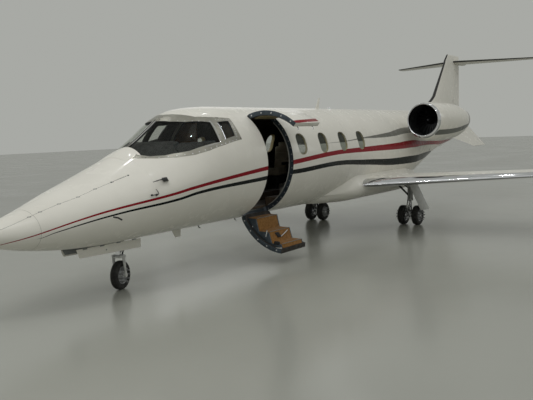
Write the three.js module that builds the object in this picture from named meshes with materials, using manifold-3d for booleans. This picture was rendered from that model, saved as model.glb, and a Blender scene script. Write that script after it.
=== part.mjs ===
import * as THREE from 'three';
import { mergeVertices } from 'three/addons/utils/BufferGeometryUtils.js';
import Module from 'manifold-3d';

const wasm = await Module();
wasm.setup();

// Driving dimensions in millimetres. A station is the distance aft of the nose tip.
const overallLength = 17880;
const halfSpan = 6675;
const tipSkin = 13;
const hullRadius = 984;
const hullAxis = 1717;
const wall = 80;
const touch = 0.3;
const run = 9;
const hullSides = 32;
const innerSides = 20;
const nacelleSides = 28;

const wheelbaseStations = { nose: 2200, main: 9920 };
const mainTrack = 2510;
const noseTyre = { radius: 214, width: 112 };
// The nose wheel stands turned to port, about a line just ahead of its axle.
const steering = { turned: 17, trail: 30 };
const mainTyre = { radius: 222, width: 146, spacing: 340 };

const door = {
  fore: 4690, aft: 5452, top: 55.6, split: -6.5, bottom: -69.4, gap: 8, upperSwing: 56, lowerSwing: 88,
  corner: 62,
};
const cabinWindow = { width: 310, height: 385, level: 2000, first: 5830, pitch: 772, left: 4, right: 5 };
const engine = { lip: 10250, out: 1450, level: 2390 };
const floorLevel = { aisle: 905, ledge: 1050, aisleHalf: 300 };

// Hull sections: station, crown height, keel height, half width, height of the widest line, and how
// peaked the upper half is (1 is an ellipse).
const hullSections = [
  [0, 1098, 1062, 22, 1080, 1],
  [20, 1132, 1028, 55, 1078, 1],
  [70, 1166, 990, 100, 1076, 1],
  [160, 1210, 950, 165, 1078, 1],
  [320, 1275, 902, 262, 1082, 1],
  [610, 1366, 838, 400, 1096, 1],
  [1100, 1551, 770, 575, 1158, 1.02],
  [1500, 1695, 742, 685, 1228, 1.06],
  [1870, 1835, 733, 775, 1305, 1.12],
  [2230, 1980, 733, 842, 1390, 1.18],
  [2500, 2108, 733, 880, 1457, 1.25],
  [2920, 2368, 733, 925, 1541, 1.25],
  [3170, 2528, 733, 945, 1595, 1.18],
  [3540, 2648, 733, 968, 1661, 1.04],
  [3900, 2685, 733, 981, 1700, 1],
  [4300, 2701, 733, 984, 1717, 1],
  [10600, 2701, 733, 984, 1717, 1],
  [11100, 2701, 790, 968, 1730, 1],
  [11600, 2701, 905, 912, 1776, 1],
  [12200, 2700, 1110, 845, 1843, 1],
  [12900, 2700, 1335, 765, 1920, 1],
  [13700, 2700, 1525, 672, 2003, 1],
  [14500, 2705, 1652, 592, 2078, 1],
  [15300, 2712, 1762, 505, 2152, 1],
  [16100, 2712, 1895, 395, 2238, 1],
  [16800, 2700, 2035, 285, 2315, 1],
  [17250, 2660, 2130, 205, 2360, 1],
  [17480, 2600, 2225, 135, 2390, 1],
  [17560, 2530, 2300, 85, 2410, 1],
];

// Half of a wing section: share of the chord, upper height and lower depth as shares of the thickness.
const aerofoil = [
  [0.015, 0.2, 0.13],
  [0.08, 0.42, 0.25],
  [0.22, 0.58, 0.35],
  [0.42, 0.63, 0.37],
  [0.64, 0.48, 0.27],
  [0.84, 0.24, 0.13],
  [1, 0.02, 0.02],
];

const finish = {
  gloss: [0xf2efe6, 0.18, 0.0],
  radome: [0xefece3, 0.25, 0.0],
  metal: [0xb9bcc0, 0.3, 0.9],
  dark: [0x2b2d31, 0.6, 0.2],
  glass: [0x1c2226, 0.05, 0.0],
  rubber: [0x17171a, 0.85, 0.0],
  titanium: [0x6a6561, 0.4, 0.8],
  carpet: [0xa58a66, 0.95, 0.0],
  leather: [0xcbbf9f, 0.6, 0.0],
  trim: [0x8a8d92, 0.5, 0.1],
};

const jet = new THREE.Group();
const lateral = { left: -1, right: 1 };

function at(station, y, z) {
  return new THREE.Vector3(station - overallLength / 2, y, z);
}

function toSolid(geometry) {
  const plain = geometry.clone();
  plain.deleteAttribute('normal');
  plain.deleteAttribute('uv');
  const merged = mergeVertices(plain, 1e-3);
  const vertProperties = new Float32Array(merged.attributes.position.array);
  const triVerts = new Uint32Array(merged.index.array);
  return new wasm.Manifold(new wasm.Mesh({ numProp: 3, vertProperties, triVerts }));
}

function toGeometry(solid) {
  const mesh = solid.getMesh();
  const geometry = new THREE.BufferGeometry();
  geometry.setAttribute('position', new THREE.BufferAttribute(mesh.vertProperties, 3));
  geometry.setIndex(new THREE.BufferAttribute(mesh.triVerts, 1));
  geometry.computeVertexNormals();
  return geometry;
}

function addPiece(name, geometry, look, parent = jet) {
  const [color, roughness, metalness] = finish[look];
  const material = new THREE.MeshStandardMaterial({ color, roughness, metalness });
  const mesh = new THREE.Mesh(geometry, material);
  mesh.name = name;
  parent.add(mesh);
  return mesh;
}

function addSolid(name, solid, look) {
  return addPiece(name, toGeometry(solid), look);
}

// A piece built in place is hung on a group at its pivot, which then turns it.
function addTurned(name, solid, look, pivot, turn) {
  const group = new THREE.Group();
  group.position.copy(pivot);
  group.rotation.set(turn.x ?? 0, turn.y ?? 0, turn.z ?? 0);
  jet.add(group);
  const geometry = toGeometry(solid).translate(-pivot.x, -pivot.y, -pivot.z);
  addPiece(name, geometry, look, group);
}

function box(low, high) {
  const size = new THREE.Vector3().subVectors(high, low);
  const middle = new THREE.Vector3().addVectors(low, high).multiplyScalar(0.5);
  return toSolid(new THREE.BoxGeometry(size.x, size.y, size.z).translate(middle.x, middle.y, middle.z));
}

function rod(from, to, startRadius, endRadius = startRadius, sides = 16) {
  const along = new THREE.Vector3().subVectors(to, from);
  const geometry = new THREE.CylinderGeometry(endRadius, startRadius, along.length(), sides);
  geometry.translate(0, along.length() / 2, 0);
  const turn = new THREE.Quaternion().setFromUnitVectors(new THREE.Vector3(0, 1, 0), along.normalize());
  geometry.applyQuaternion(turn).translate(from.x, from.y, from.z);
  return toSolid(geometry);
}

// Prisms: an outline in (y, z) runs along X, and an outline in (station, z) runs along Y.
function prismAlongX(shape, fromStation, toStation, curveSegments = 12) {
  const options = { depth: toStation - fromStation, bevelEnabled: false, curveSegments };
  const geometry = new THREE.ExtrudeGeometry(shape, options);
  const basis = new THREE.Matrix4().makeBasis(
    new THREE.Vector3(0, 1, 0), new THREE.Vector3(0, 0, 1), new THREE.Vector3(1, 0, 0));
  return toSolid(geometry.applyMatrix4(basis).translate(fromStation - overallLength / 2, 0, 0));
}

function prismAlongY(shape, fromY, toY, curveSegments = 8) {
  const options = { depth: toY - fromY, bevelEnabled: false, curveSegments };
  const geometry = new THREE.ExtrudeGeometry(shape, options);
  const basis = new THREE.Matrix4().makeBasis(
    new THREE.Vector3(1, 0, 0), new THREE.Vector3(0, 0, 1), new THREE.Vector3(0, -1, 0));
  return toSolid(geometry.applyMatrix4(basis).translate(-overallLength / 2, toY, 0));
}

function outline(points) {
  return new THREE.Shape(points.map(([u, v]) => new THREE.Vector2(u, v)));
}

function roundedOutline(centre, level, width, height, radius) {
  const shape = new THREE.Shape();
  const x = width / 2 - radius;
  const z = height / 2 - radius;
  const quarter = Math.PI / 2;
  shape.absarc(centre + x, level + z, radius, 0, quarter);
  shape.absarc(centre - x, level + z, radius, quarter, 2 * quarter);
  shape.absarc(centre - x, level - z, radius, 2 * quarter, 3 * quarter);
  shape.absarc(centre + x, level - z, radius, 3 * quarter, 4 * quarter);
  return shape;
}

function joined(solids) {
  return solids.reduce((whole, solid) => whole.add(solid));
}

function newell(ring) {
  const normal = new THREE.Vector3();
  ring.forEach((p, i) => {
    const q = ring[(i + 1) % ring.length];
    normal.x += (p.y - q.y) * (p.z + q.z);
    normal.y += (p.z - q.z) * (p.x + q.x);
    normal.z += (p.x - q.x) * (p.y + q.y);
  });
  return normal;
}

function middleOf(ring) {
  return ring.reduce((sum, p) => sum.add(p), new THREE.Vector3()).divideScalar(ring.length);
}

// Closes a ring with flat triangles whose faces look along the outward direction.
function capFaces(ring, first, outward) {
  const normal = newell(ring);
  const size = [Math.abs(normal.x), Math.abs(normal.y), Math.abs(normal.z)];
  const dropped = size.indexOf(Math.max(...size));
  const [u, v] = [0, 1, 2].filter((axis) => axis !== dropped);
  const flat = ring.map((p) => new THREE.Vector2(p.getComponent(u), p.getComponent(v)));
  const faces = THREE.ShapeUtils.triangulateShape(flat, []);
  return faces.map(([a, b, c]) => {
    const edge = new THREE.Vector3().subVectors(ring[b], ring[a]);
    const cross = edge.cross(new THREE.Vector3().subVectors(ring[c], ring[a]));
    const face = cross.dot(outward) > 0 ? [a, b, c] : [a, c, b];
    return face.map((i) => i + first);
  });
}

// A solid skinned over rings that all have the same number of points.
function loft(rings) {
  const along = new THREE.Vector3().subVectors(middleOf(rings[1]), middleOf(rings[0]));
  const ordered = newell(rings[0]).dot(along) > 0 ? rings : rings.map((ring) => [...ring].reverse());
  const count = rings[0].length;
  const last = rings.length - 1;
  const faces = [
    ...capFaces(ordered[0], 0, along.clone().negate()),
    ...capFaces(ordered[last], last * count,
      new THREE.Vector3().subVectors(middleOf(ordered[last]), middleOf(ordered[last - 1]))),
  ];
  for (let k = 0; k < last; k += 1) {
    for (let i = 0; i < count; i += 1) {
      const a = k * count + i;
      const b = k * count + (i + 1) % count;
      faces.push([a, b, b + count], [a, b + count, a + count]);
    }
  }
  const geometry = new THREE.BufferGeometry();
  geometry.setAttribute('position',
    new THREE.Float32BufferAttribute(ordered.flat().flatMap((p) => [p.x, p.y, p.z]), 3));
  geometry.setIndex(faces.flat());
  return toSolid(geometry);
}

// Smooth reading between the rows of the hull table, without overshoot.
function rowSlope(column, i) {
  if (i === 0 || i === hullSections.length - 1) return 0;
  const [before, here, after] = [hullSections[i - 1], hullSections[i], hullSections[i + 1]];
  const back = (here[column] - before[column]) / (here[0] - before[0]);
  const ahead = (after[column] - here[column]) / (after[0] - here[0]);
  return back * ahead <= 0 ? 0 : 2 * back * ahead / (back + ahead);
}

function readHull(station, column) {
  const found = hullSections.findIndex((row) => row[0] > station);
  const i = found < 0 ? hullSections.length - 2 : Math.max(found - 1, 0);
  const [low, high] = [hullSections[i], hullSections[i + 1]];
  const step = high[0] - low[0];
  const t = (station - low[0]) / step;
  const blend = t * t * (3 - 2 * t);
  return low[column] * (1 - blend) + high[column] * blend
    + rowSlope(column, i) * step * t * (1 - t) ** 2 - rowSlope(column, i + 1) * step * t * t * (1 - t);
}

function hullRing(station, inset, sides) {
  const [crown, keel, half, widest, peak] = [1, 2, 3, 4, 5].map((column) => readHull(station, column));
  const ring = [];
  for (let i = 0; i < sides; i += 1) {
    const angle = i * 2 * Math.PI / sides;
    const [across, lift] = [Math.cos(angle), Math.sin(angle)];
    const bend = lift > 0 ? peak : 1;
    const rise = lift > 0 ? crown - widest - inset : keel - widest + inset;
    const y = Math.sign(across) * Math.abs(across) ** bend * (half - inset);
    ring.push(at(station, y, widest + Math.abs(lift) ** bend * rise));
  }
  return ring;
}

function hullSolid(from, to, inset = 0, sides = hullSides) {
  const between = hullSections.map((row) => row[0]).filter((s) => s > from + 20 && s < to - 20);
  return loft([from, ...between, to].map((station) => hullRing(station, inset, sides)));
}

// An open tube of hull skin between two stations.
function hullShell(from, to, thickness) {
  return hullSolid(from, to).subtract(hullSolid(from - 1, to + 1, thickness, innerSides));
}

const panelEnds = { radome: 610, nose: 2230, cockpit: 4300, entry: 5620, cabin: 10600, aft: 14500 };
const cockpitWall = 60;
const aftWall = 45;
const hullEnd = hullSections.at(-1)[0];

// Flight deck panes, as corners on the left half of the hull: station, y, z, then the way they face.
const panes = {
  windscreen: {
    corners: [
      [2440, 120, 2075], [3170, 120, 2525], [3344, -384, 2488], [3650, -618, 2429], [3586, -861, 2103],
      [3026, -740, 1994], [2654, -585, 1946], [2476, -458, 1942], [2373, -306, 1972], [2452, -46, 2080],
    ],
    facing: [-0.42, -0.5, 0.76],
  },
  side_window: {
    corners: [[3773, -655, 2419], [4053, -664, 2434], [3975, -853, 2191], [3716, -860, 2143]],
    facing: [-0.05, -0.8, 0.6],
  },
};

const centrePost = 56;

// A prism through the hull skin, its outline through the given corners and grown by a margin.
function panePrism({ corners, facing }, side, margin) {
  const out = new THREE.Vector3(facing[0], facing[1] * -side, facing[2]).normalize();
  const points = corners.map(([s, y, z]) => at(s, y * -side, z));
  const middle = middleOf(points);
  const grown = points.map((p) => {
    const away = new THREE.Vector3().subVectors(p, middle);
    away.addScaledVector(out, -away.dot(out));
    return p.clone().addScaledVector(away.normalize(), margin);
  });
  const reach = 330;
  const prism = loft([-reach, reach].map((shift) => grown.map((p) => {
    const flat = p.clone().addScaledVector(out, middle.dot(out) - p.dot(out));
    return flat.addScaledVector(out, shift);
  })));
  const inner = side * (centrePost / 2 - margin);
  const outer = side * hullRadius * 2;
  return prism.intersect(box(at(1500, Math.min(inner, outer), 1000), at(4500, Math.max(inner, outer), 3500)));
}

function makeNose() {
  addSolid('nose_cone', hullSolid(0, panelEnds.radome), 'radome');
  const well = noseWell();
  const pad = rod(at(1150, 0, 745), at(1150, 0, 820), 60);
  const body = hullSolid(panelEnds.radome + touch, panelEnds.nose).add(pad);
  addSolid('nose_section', body.subtract(well), 'gloss');
}

const wellSize = { fore: 1250, aft: 2490, half: 165, top: 1120 };

function noseWell() {
  return box(at(wellSize.fore, -wellSize.half, 600), at(wellSize.aft, wellSize.half, wellSize.top));
}

function makeFlightDeckShell() {
  let shell = hullShell(panelEnds.nose + touch, panelEnds.cockpit, cockpitWall);
  shell = shell.subtract(noseWell());
  const glassSkin = hullSolid(panelEnds.nose + 5, panelEnds.cockpit, 8)
    .subtract(hullSolid(panelEnds.nose + 4, panelEnds.cockpit + 1, 26));
  for (const [name, side] of Object.entries(lateral)) {
    for (const [kind, pane] of Object.entries(panes)) {
      shell = shell.subtract(panePrism(pane, side, 0));
      addSolid(`${kind}_${name}`, glassSkin.intersect(panePrism(pane, side, -touch)), 'glass');
    }
  }
  addSolid('flight_deck_shell', shell, 'gloss');
}

function sector(innerRadius, outerRadius, lowDegrees, highDegrees) {
  const start = THREE.MathUtils.degToRad(180 - highDegrees);
  const end = THREE.MathUtils.degToRad(180 - lowDegrees);
  const shape = new THREE.Shape();
  shape.absarc(0, hullAxis, outerRadius, start, end, false);
  shape.absarc(0, hullAxis, innerRadius, end, start, true);
  return shape;
}

// What rounds off the four corners of a door or doorway, larger by one margin along it and one around it.
function doorCorners(margin, aroundMargin, radius) {
  const arc = Array.from({ length: 7 }, (_, i) => Math.PI / 2 * (1 - i / 6));
  const over = radius + 20;
  const profile = [[radius, 0], [over, 0], [over, over], [0, over],
    ...arc.map((turn) => [radius * Math.cos(turn), radius * Math.sin(turn)]).slice(0, -1)];
  const cuts = [];
  for (const [edge, along] of [[door.fore - margin, -1], [door.aft + margin, 1]]) {
    for (const [degrees, around] of [[door.top, 1], [door.bottom, -1]]) {
      const angle = THREE.MathUtils.degToRad(degrees) + around * (aroundMargin - radius) / hullRadius;
      const outward = new THREE.Vector3(0, -Math.cos(angle), Math.sin(angle));
      const rising = new THREE.Vector3(0, Math.sin(angle), Math.cos(angle));
      cuts.push(loft([hullRadius - 2 * wall, hullRadius + wall].map((reach) => profile.map(([u, v]) => at(
        edge - along * (radius - u), 0, hullAxis).addScaledVector(outward, reach)
        .addScaledVector(rising, around * v)))));
    }
  }
  return joined(cuts);
}

function windowCuts(count, first, side) {
  const reach = side > 0 ? [600, 1100] : [-1100, -600];
  return Array.from({ length: count }, (_, i) => prismAlongY(
    roundedOutline(first + i * cabinWindow.pitch, cabinWindow.level, cabinWindow.width,
      cabinWindow.height, cabinWindow.width * 0.42), ...reach, 4));
}

function makeCabinShell() {
  const lip = THREE.MathUtils.radToDeg(door.gap / hullRadius);
  const doorway = prismAlongX(
    sector(hullRadius - wall * 2, hullRadius + wall, door.bottom - lip, door.top + lip),
    door.fore - door.gap, door.aft + door.gap, 24)
    .subtract(doorCorners(door.gap, door.gap, door.corner + door.gap));
  let entry = hullShell(panelEnds.cockpit + touch, panelEnds.entry, wall).subtract(doorway);
  let cabin = hullShell(panelEnds.entry + touch, panelEnds.cabin, wall);
  windowCuts(cabinWindow.left, cabinWindow.first, -1).forEach((cut) => { cabin = cabin.subtract(cut); });
  windowCuts(cabinWindow.right - 1, cabinWindow.first, 1).forEach((cut) => { cabin = cabin.subtract(cut); });
  windowCuts(1, cabinWindow.first - cabinWindow.pitch, 1).forEach((cut) => { entry = entry.subtract(cut); });
  addSolid('entry_section', entry, 'gloss');
  addSolid('cabin_section', cabin, 'gloss');
}

function makeAftFuselage() {
  const bulkhead = 60;
  const aft = hullSolid(panelEnds.cabin + touch, panelEnds.aft)
    .subtract(hullSolid(panelEnds.cabin + bulkhead, panelEnds.aft + 1, aftWall, innerSides));
  addSolid('aft_fuselage', aft, 'gloss');
  const cone = hullSolid(panelEnds.aft + touch, hullEnd)
    .subtract(hullSolid(panelEnds.aft - 1, hullEnd - 300, aftWall, innerSides));
  addSolid('tail_cone', cone, 'gloss');
}

// Wing root fairing: station, half width, underside height, height of its upper edge.
const fairingSections = [
  [6700, 200, 760, 1010],
  [7300, 700, 722, 1060],
  [8100, 990, 695, 1180],
  [10400, 990, 695, 1180],
  [11200, 860, 740, 1130],
  [11800, 560, 930, 1200],
  [12300, 200, 1150, 1400],
];

function fairingSolid(grow = 0) {
  return loft(fairingSections.map(([station, half, low, high]) => {
    const outer = half + grow;
    const floor = low - grow;
    const profile = [
      [-outer * 0.87, high + 110], [-outer, high - 140], [-outer * 0.86, floor + 95],
      [-outer * 0.55, floor + 12], [0, floor], [outer * 0.55, floor + 12], [outer * 0.86, floor + 95], [outer, high - 140],
      [outer * 0.87, high + 110],
    ];
    return profile.map(([y, z]) => at(station, y, z));
  }));
}

function makeFairing() {
  addSolid('belly_fairing', fairingSolid().subtract(hullSolid(6000, 12900, -touch)), 'gloss');
}

// One closed wing section: the leading edge point, the chord aft of it, and the way its thickness lies.
function wingRing(lead, chord, thickness, up, symmetric = false) {
  const put = ([share, over, under], sign) => {
    const height = symmetric ? (over + under) / 2 : (sign > 0 ? over : under);
    return lead.clone().add(new THREE.Vector3(share * chord, 0, 0))
      .addScaledVector(up, sign * height * thickness);
  };
  const upper = aerofoil.map((row) => put(row, 1));
  const lower = aerofoil.map((row) => put(row, -1)).reverse();
  return [lead.clone(), ...upper, ...lower];
}

const wing = { rootLead: 7830, sweep: 0.293, rootChord: 2740, tipChord: 1120, rise: 0.0437, rootLevel: 1016 };
const wingTaper = (wing.rootChord - wing.tipChord) / 6400;

function wingLead(y) {
  return wing.rootLead + wing.sweep * y;
}

function wingChord(y) {
  return wing.rootChord - wingTaper * y;
}

function wingLevel(y) {
  return wing.rootLevel + wing.rise * y;
}

function wingThickness(y) {
  return wingChord(y) * (0.104 - y * 4e-6);
}

// Winglet sections: y, height over the wing's tip line, leading edge station, chord, cant in degrees.
const wingletSections = [
  [6300, 0, 9676, 1145, 12],
  [6430, 55, 9760, 1060, 45],
  [6500, 170, 9890, 920, 72],
  [halfSpan - tipSkin, 800, 10560, 430, 76],
];

function wingBlank(side) {
  const flat = [650, 3000, 6100].map((y) => wingRing(
    at(wingLead(y), side * y, wingLevel(y)), wingChord(y), wingThickness(y), new THREE.Vector3(0, 0, 1)));
  const tip = wingletSections.map(([y, over, lead, chord, cant]) => {
    const angle = THREE.MathUtils.degToRad(cant);
    const up = new THREE.Vector3(0, -side * Math.sin(angle), Math.cos(angle));
    return wingRing(at(lead, side * y, wingLevel(6300) + over), chord, chord * 0.085, up);
  });
  return loft([...flat, ...tip]);
}

// Splits a hinged surface off the back of a wing: its round nose turns in a slot cut a little larger.
function splitSurface(blank, start, end, radii, up) {
  const along = new THREE.Vector3().subVectors(end, start);
  const span = along.length();
  const hinge = along.clone().normalize();
  const aft = new THREE.Vector3().crossVectors(hinge, up).normalize();
  if (aft.x < 0) aft.negate();
  const block = (fore, spanGap, depth) => {
    const corners = [[-spanGap, fore], [span + spanGap, fore], [span + spanGap, depth], [-spanGap, depth]];
    return loft([-600, 600].map((lift) => corners.map(([s, a]) => start.clone()
      .addScaledVector(hinge, s).addScaledVector(aft, a).addScaledVector(up, lift))));
  };
  const nose = Math.max(...radii);
  const [roundStart, roundEnd] = [2, span - 2].map((s) => start.clone().addScaledVector(hinge, s));
  const surface = blank.intersect(block(0, 0, 1500)).add(rod(roundStart, roundEnd, radii[0], radii[1], 14));
  return { surface, rest: blank.subtract(block(-nose - run, run, 1500)) };
}

// Hinged surfaces on the wing: inner y, outer y, share of the chord at the hinge.
const wingSurfaces = { flap: [1130, 4180, 0.79], aileron: [4230, 6020, 0.78] };
const spoiler = { inner: 2350, outer: 3900, fore: 0.58, aft: 0.7, skin: 24, recess: 40 };

function wingHinge(side, y, share) {
  const level = wingLevel(y) + wingThickness(y) * 0.067;
  return at(wingLead(y) + wingChord(y) * share, side * y, level);
}

// The spoiler turns about its front edge, just under the wing's upper skin.
function spoilerHinge(side, y) {
  const share = spoiler.fore;
  const [before, after] = [aerofoil[3], aerofoil[4]];
  const over = before[1] + (after[1] - before[1]) * (share - before[0]) / (after[0] - before[0]);
  return at(wingLead(y) + wingChord(y) * share, side * y, wingLevel(y) + over * wingThickness(y) - 3);
}

// Everything under the spoiler's outline that lies above a lowered copy of the wing's upper skin.
function overSkin(blank, side, margin, depth) {
  const { inner, outer, fore, aft } = spoiler;
  const corners = [
    [inner - margin, fore, -margin], [outer + margin, fore, -margin],
    [outer + margin, aft, margin], [inner - margin, aft, margin],
  ];
  const ring = (lift) => corners.map(([y, share, shift]) => at(
    wingLead(y) + wingChord(y) * share + shift, side * y, wingLevel(y) + lift));
  return loft([ring(0), ring(400)]).subtract(blank.translate([0, 0, -depth]));
}

function makeWing(name, side) {
  const blank = wingBlank(side).subtract(fairingSolid(touch)).subtract(hullSolid(6000, 12900, -touch));
  addSolid(`spoiler_${name}`, blank.intersect(overSkin(blank, side, 0, spoiler.skin)), 'gloss');
  let rest = blank.subtract(overSkin(blank, side, run, spoiler.recess));
  for (const [kind, [inner, outer, share]] of Object.entries(wingSurfaces)) {
    const [start, end] = [inner, outer].map((y) => wingHinge(side, y, share));
    const radii = [inner, outer].map((y) => wingThickness(y) * 0.21);
    const split = splitSurface(rest, start, end, radii, new THREE.Vector3(0, 0, 1));
    addSolid(`${kind}_${name}`, split.surface, 'gloss');
    rest = split.rest;
  }
  const jackPad = rod(at(9450, side * 1900, 1060), at(9450, side * 1900, 940), 55);
  addSolid(`wing_${name}`, rest.add(jackPad).subtract(gearPocket(side)), 'gloss');
}

const legTop = { half: 95, level: 1040 };

function gearPocket(side) {
  const y = side * mainTrack / 2;
  return box(at(wheelbaseStations.main - legTop.half, y - legTop.half, 700),
    at(wheelbaseStations.main + legTop.half, y + legTop.half, legTop.level));
}

// Nacelle skin, as distance aft of the lip, then its radius upward, downward and sideways.
const nacelleSkin = [
  [0, 372, 372, 372], [25, 392, 398, 395], [120, 404, 440, 425], [420, 412, 485, 462],
  [1000, 412, 505, 475], [1600, 392, 475, 448], [2100, 335, 400, 378], [2480, 276, 290, 282],
];
// The duct through it, as distance aft of the lip and radius.
const nacelleDuct = [
  [-1, 372], [0, 366], [50, 348], [200, 356], [420, 372], [700, 380], [1500, 372], [1800, 345],
  [2200, 300], [2480, 258], [2481, 258],
];
const engineCore = [
  [620, 0], [620, 180], [700, 268], [1300, 288], [1900, 262], [2250, 212], [2560, 90], [2620, 0],
];
// Guide vanes between the core and the duct: fore and aft edge, thickness, radius at the tip.
const vane = { count: 6, fore: 870, aft: 1130, thick: 12, reach: 380 };

function lathe(profile, station, y, level, sides) {
  const points = [...profile, profile[0]].map(([along, radius]) => new THREE.Vector2(radius, along));
  const geometry = new THREE.LatheGeometry(points, sides);
  geometry.rotateZ(-Math.PI / 2);
  return toSolid(geometry.translate(station - overallLength / 2, y, level));
}

function nacelleBody(y, grow) {
  return loft(nacelleSkin.map(([along, up, down, out]) => Array.from({ length: nacelleSides }, (_, i) => {
    const angle = i * 2 * Math.PI / nacelleSides;
    const [across, lift] = [Math.cos(angle), Math.sin(angle)];
    const height = (lift > 0 ? up : down) + grow;
    return at(engine.lip + along, y + across * (out + grow), engine.level + lift * height);
  })));
}

// Everything inside the duct between two distances aft of the lip, shrunk by a margin.
function ductAir(y, from, to, margin) {
  const line = nacelleDuct.filter(([along]) => along >= from && along <= to);
  const skin = line.map(([along, radius]) => [along, radius - margin]);
  return lathe([[line[0][0], 0], ...skin, [line.at(-1)[0], 0]], engine.lip, y, engine.level, nacelleSides);
}

function makeEngine(name, side) {
  const y = side * engine.out;
  const air = ductAir(y, -1, 2481, 0);
  addSolid(`nacelle_${name}`, nacelleBody(y, 0).subtract(air), 'gloss');
  const blades = Array.from({ length: vane.count }, (_, i) => {
    const plate = new THREE.BoxGeometry(vane.aft - vane.fore, vane.thick, 2 * vane.reach);
    plate.translate((vane.fore + vane.aft) / 2, 0, 0).rotateX(i * Math.PI / vane.count);
    return toSolid(plate.translate(engine.lip - overallLength / 2, y, engine.level));
  });
  const struts = joined(blades).intersect(ductAir(y, 700, 1500, touch));
  const core = lathe(engineCore, engine.lip, y, engine.level, 24);
  addSolid(`engine_${name}`, core.add(struts), 'titanium');
  addFan(name, y);
  // Pylon plan: station and thickness along its joint with the fuselage, then along the engine's axis.
  const plan = [
    [500, [[10980, 120], [11350, 170], [12500, 165], [13150, 70]]],
    [engine.out, [[10980, 120], [11350, 170], [12150, 150], [12660, 40]]],
  ];
  const web = loft(plan.map(([out, line]) => {
    const upper = line.map(([station, thick]) => at(station, side * out, 2250 + thick / 2));
    const lower = line.map(([station, thick]) => at(station, side * out, 2250 - thick / 2)).reverse();
    return [...upper, ...lower];
  }));
  const pylon = web.subtract(hullSolid(10000, 14400, -touch)).subtract(nacelleBody(y, touch));
  addSolid(`pylon_${name}`, pylon, 'gloss');
}

const fan = { blades: 16, radius: 362, hub: 116, fore: 480, aft: 580 };
// One blade: pitch from the fan's axis, widths at its root and tip, thickness.
const blade = { pitch: 0.75, root: 50, tip: 104, thick: 8 };

function addFan(name, y) {
  const spinner = [
    [fan.fore - 190, 0], [fan.fore - 150, 45], [fan.fore, 106], [fan.aft, fan.hub], [fan.aft, 0],
  ];
  const hub = toSolid(new THREE.LatheGeometry(
    spinner.map(([along, radius]) => new THREE.Vector2(radius, along)), fan.blades).rotateZ(-Math.PI / 2));
  const middle = (fan.fore + fan.aft) / 2;
  const [c, s] = [Math.cos(blade.pitch), Math.sin(blade.pitch)];
  const ring = (radius, width) => [[-1, -1], [1, -1], [1, 1], [-1, 1]].map(([u, v]) => {
    const [along, thick] = [u * width / 2, v * blade.thick / 2];
    return new THREE.Vector3(middle + along * c - thick * s, along * s + thick * c, radius);
  });
  const plate = loft([ring(fan.hub - 30, blade.root), ring(fan.radius - 3, blade.tip)]);
  const blades = Array.from({ length: fan.blades }, (_, i) =>
    plate.rotate([(i + 0.5) * 360 / fan.blades, 0, 0]));
  const geometry = toGeometry(joined([hub, ...blades]));
  const mesh = addPiece(`fan_${name}`, geometry, 'metal');
  mesh.position.copy(at(engine.lip, y, engine.level));
}

// Fin sections: height, leading edge station, trailing edge station, thickness.
const finSections = [
  [2560, 13450, 16850, 120],
  [2740, 13800, 16860, 190],
  [2950, 14270, 16865, 205],
  [3130, 14620, 16870, 200],
  [4160, 15560, 16880, 125],
];
const finTop = 4160;
const rudder = { low: 3020, high: 3980, share: 0.7 };

function finLine(height, column) {
  const i = Math.max(finSections.findIndex((row) => row[0] >= height), 1);
  const [low, high] = [finSections[i - 1], finSections[i]];
  return low[column] + (high[column] - low[column]) * (height - low[0]) / (high[0] - low[0]);
}

function makeFin() {
  const blank = loft(finSections.map(([height, lead, trail, thick]) => wingRing(
    at(lead, 0, height), trail - lead, thick, new THREE.Vector3(0, 1, 0), true)))
    .subtract(hullSolid(12900, hullEnd, -touch));
  const [start, end] = [rudder.low, rudder.high].map((height) => {
    const lead = finLine(height, 1);
    return at(lead + (finLine(height, 2) - lead) * rudder.share, 0, height);
  });
  const radii = [rudder.low, rudder.high].map((height) => finLine(height, 3) * 0.36);
  const split = splitSurface(blank, start, end, radii, new THREE.Vector3(0, 1, 0));
  addSolid('fin', split.rest, 'gloss');
  addSolid('rudder', split.surface, 'gloss');
}

const tail = { level: 4235, half: 2240, rootLead: 16180, rootChord: 1290, tipLead: 17250, tipChord: 628 };
const elevator = { inner: 190, outer: 2190, share: 0.7 };

// The cap carries the fin on above the tailplane: height, leading and trailing edge, thickness.
const capSections = [
  [finTop + touch, 15562, 16882, 124],
  [4380, 15765, 16888, 108],
  [4440, 15850, 16850, 56],
];
// Bullet behind the cap: station, half width, lowest and highest point.
const bulletSections = [
  [16250, 24, 4190, 4275], [16700, 66, 4163, 4325], [17150, 58, 4172, 4312], [17500, 32, 4205, 4284],
  [17640, 8, 4234, 4254],
];

function tailLine(y, root, tip) {
  return root + (tip - root) * y / tail.half;
}

function tailHinge(side, y) {
  const chord = tailLine(y, tail.rootChord, tail.tipChord);
  return at(tailLine(y, tail.rootLead, tail.tipLead) + chord * elevator.share, side * y, tail.level);
}

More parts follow.
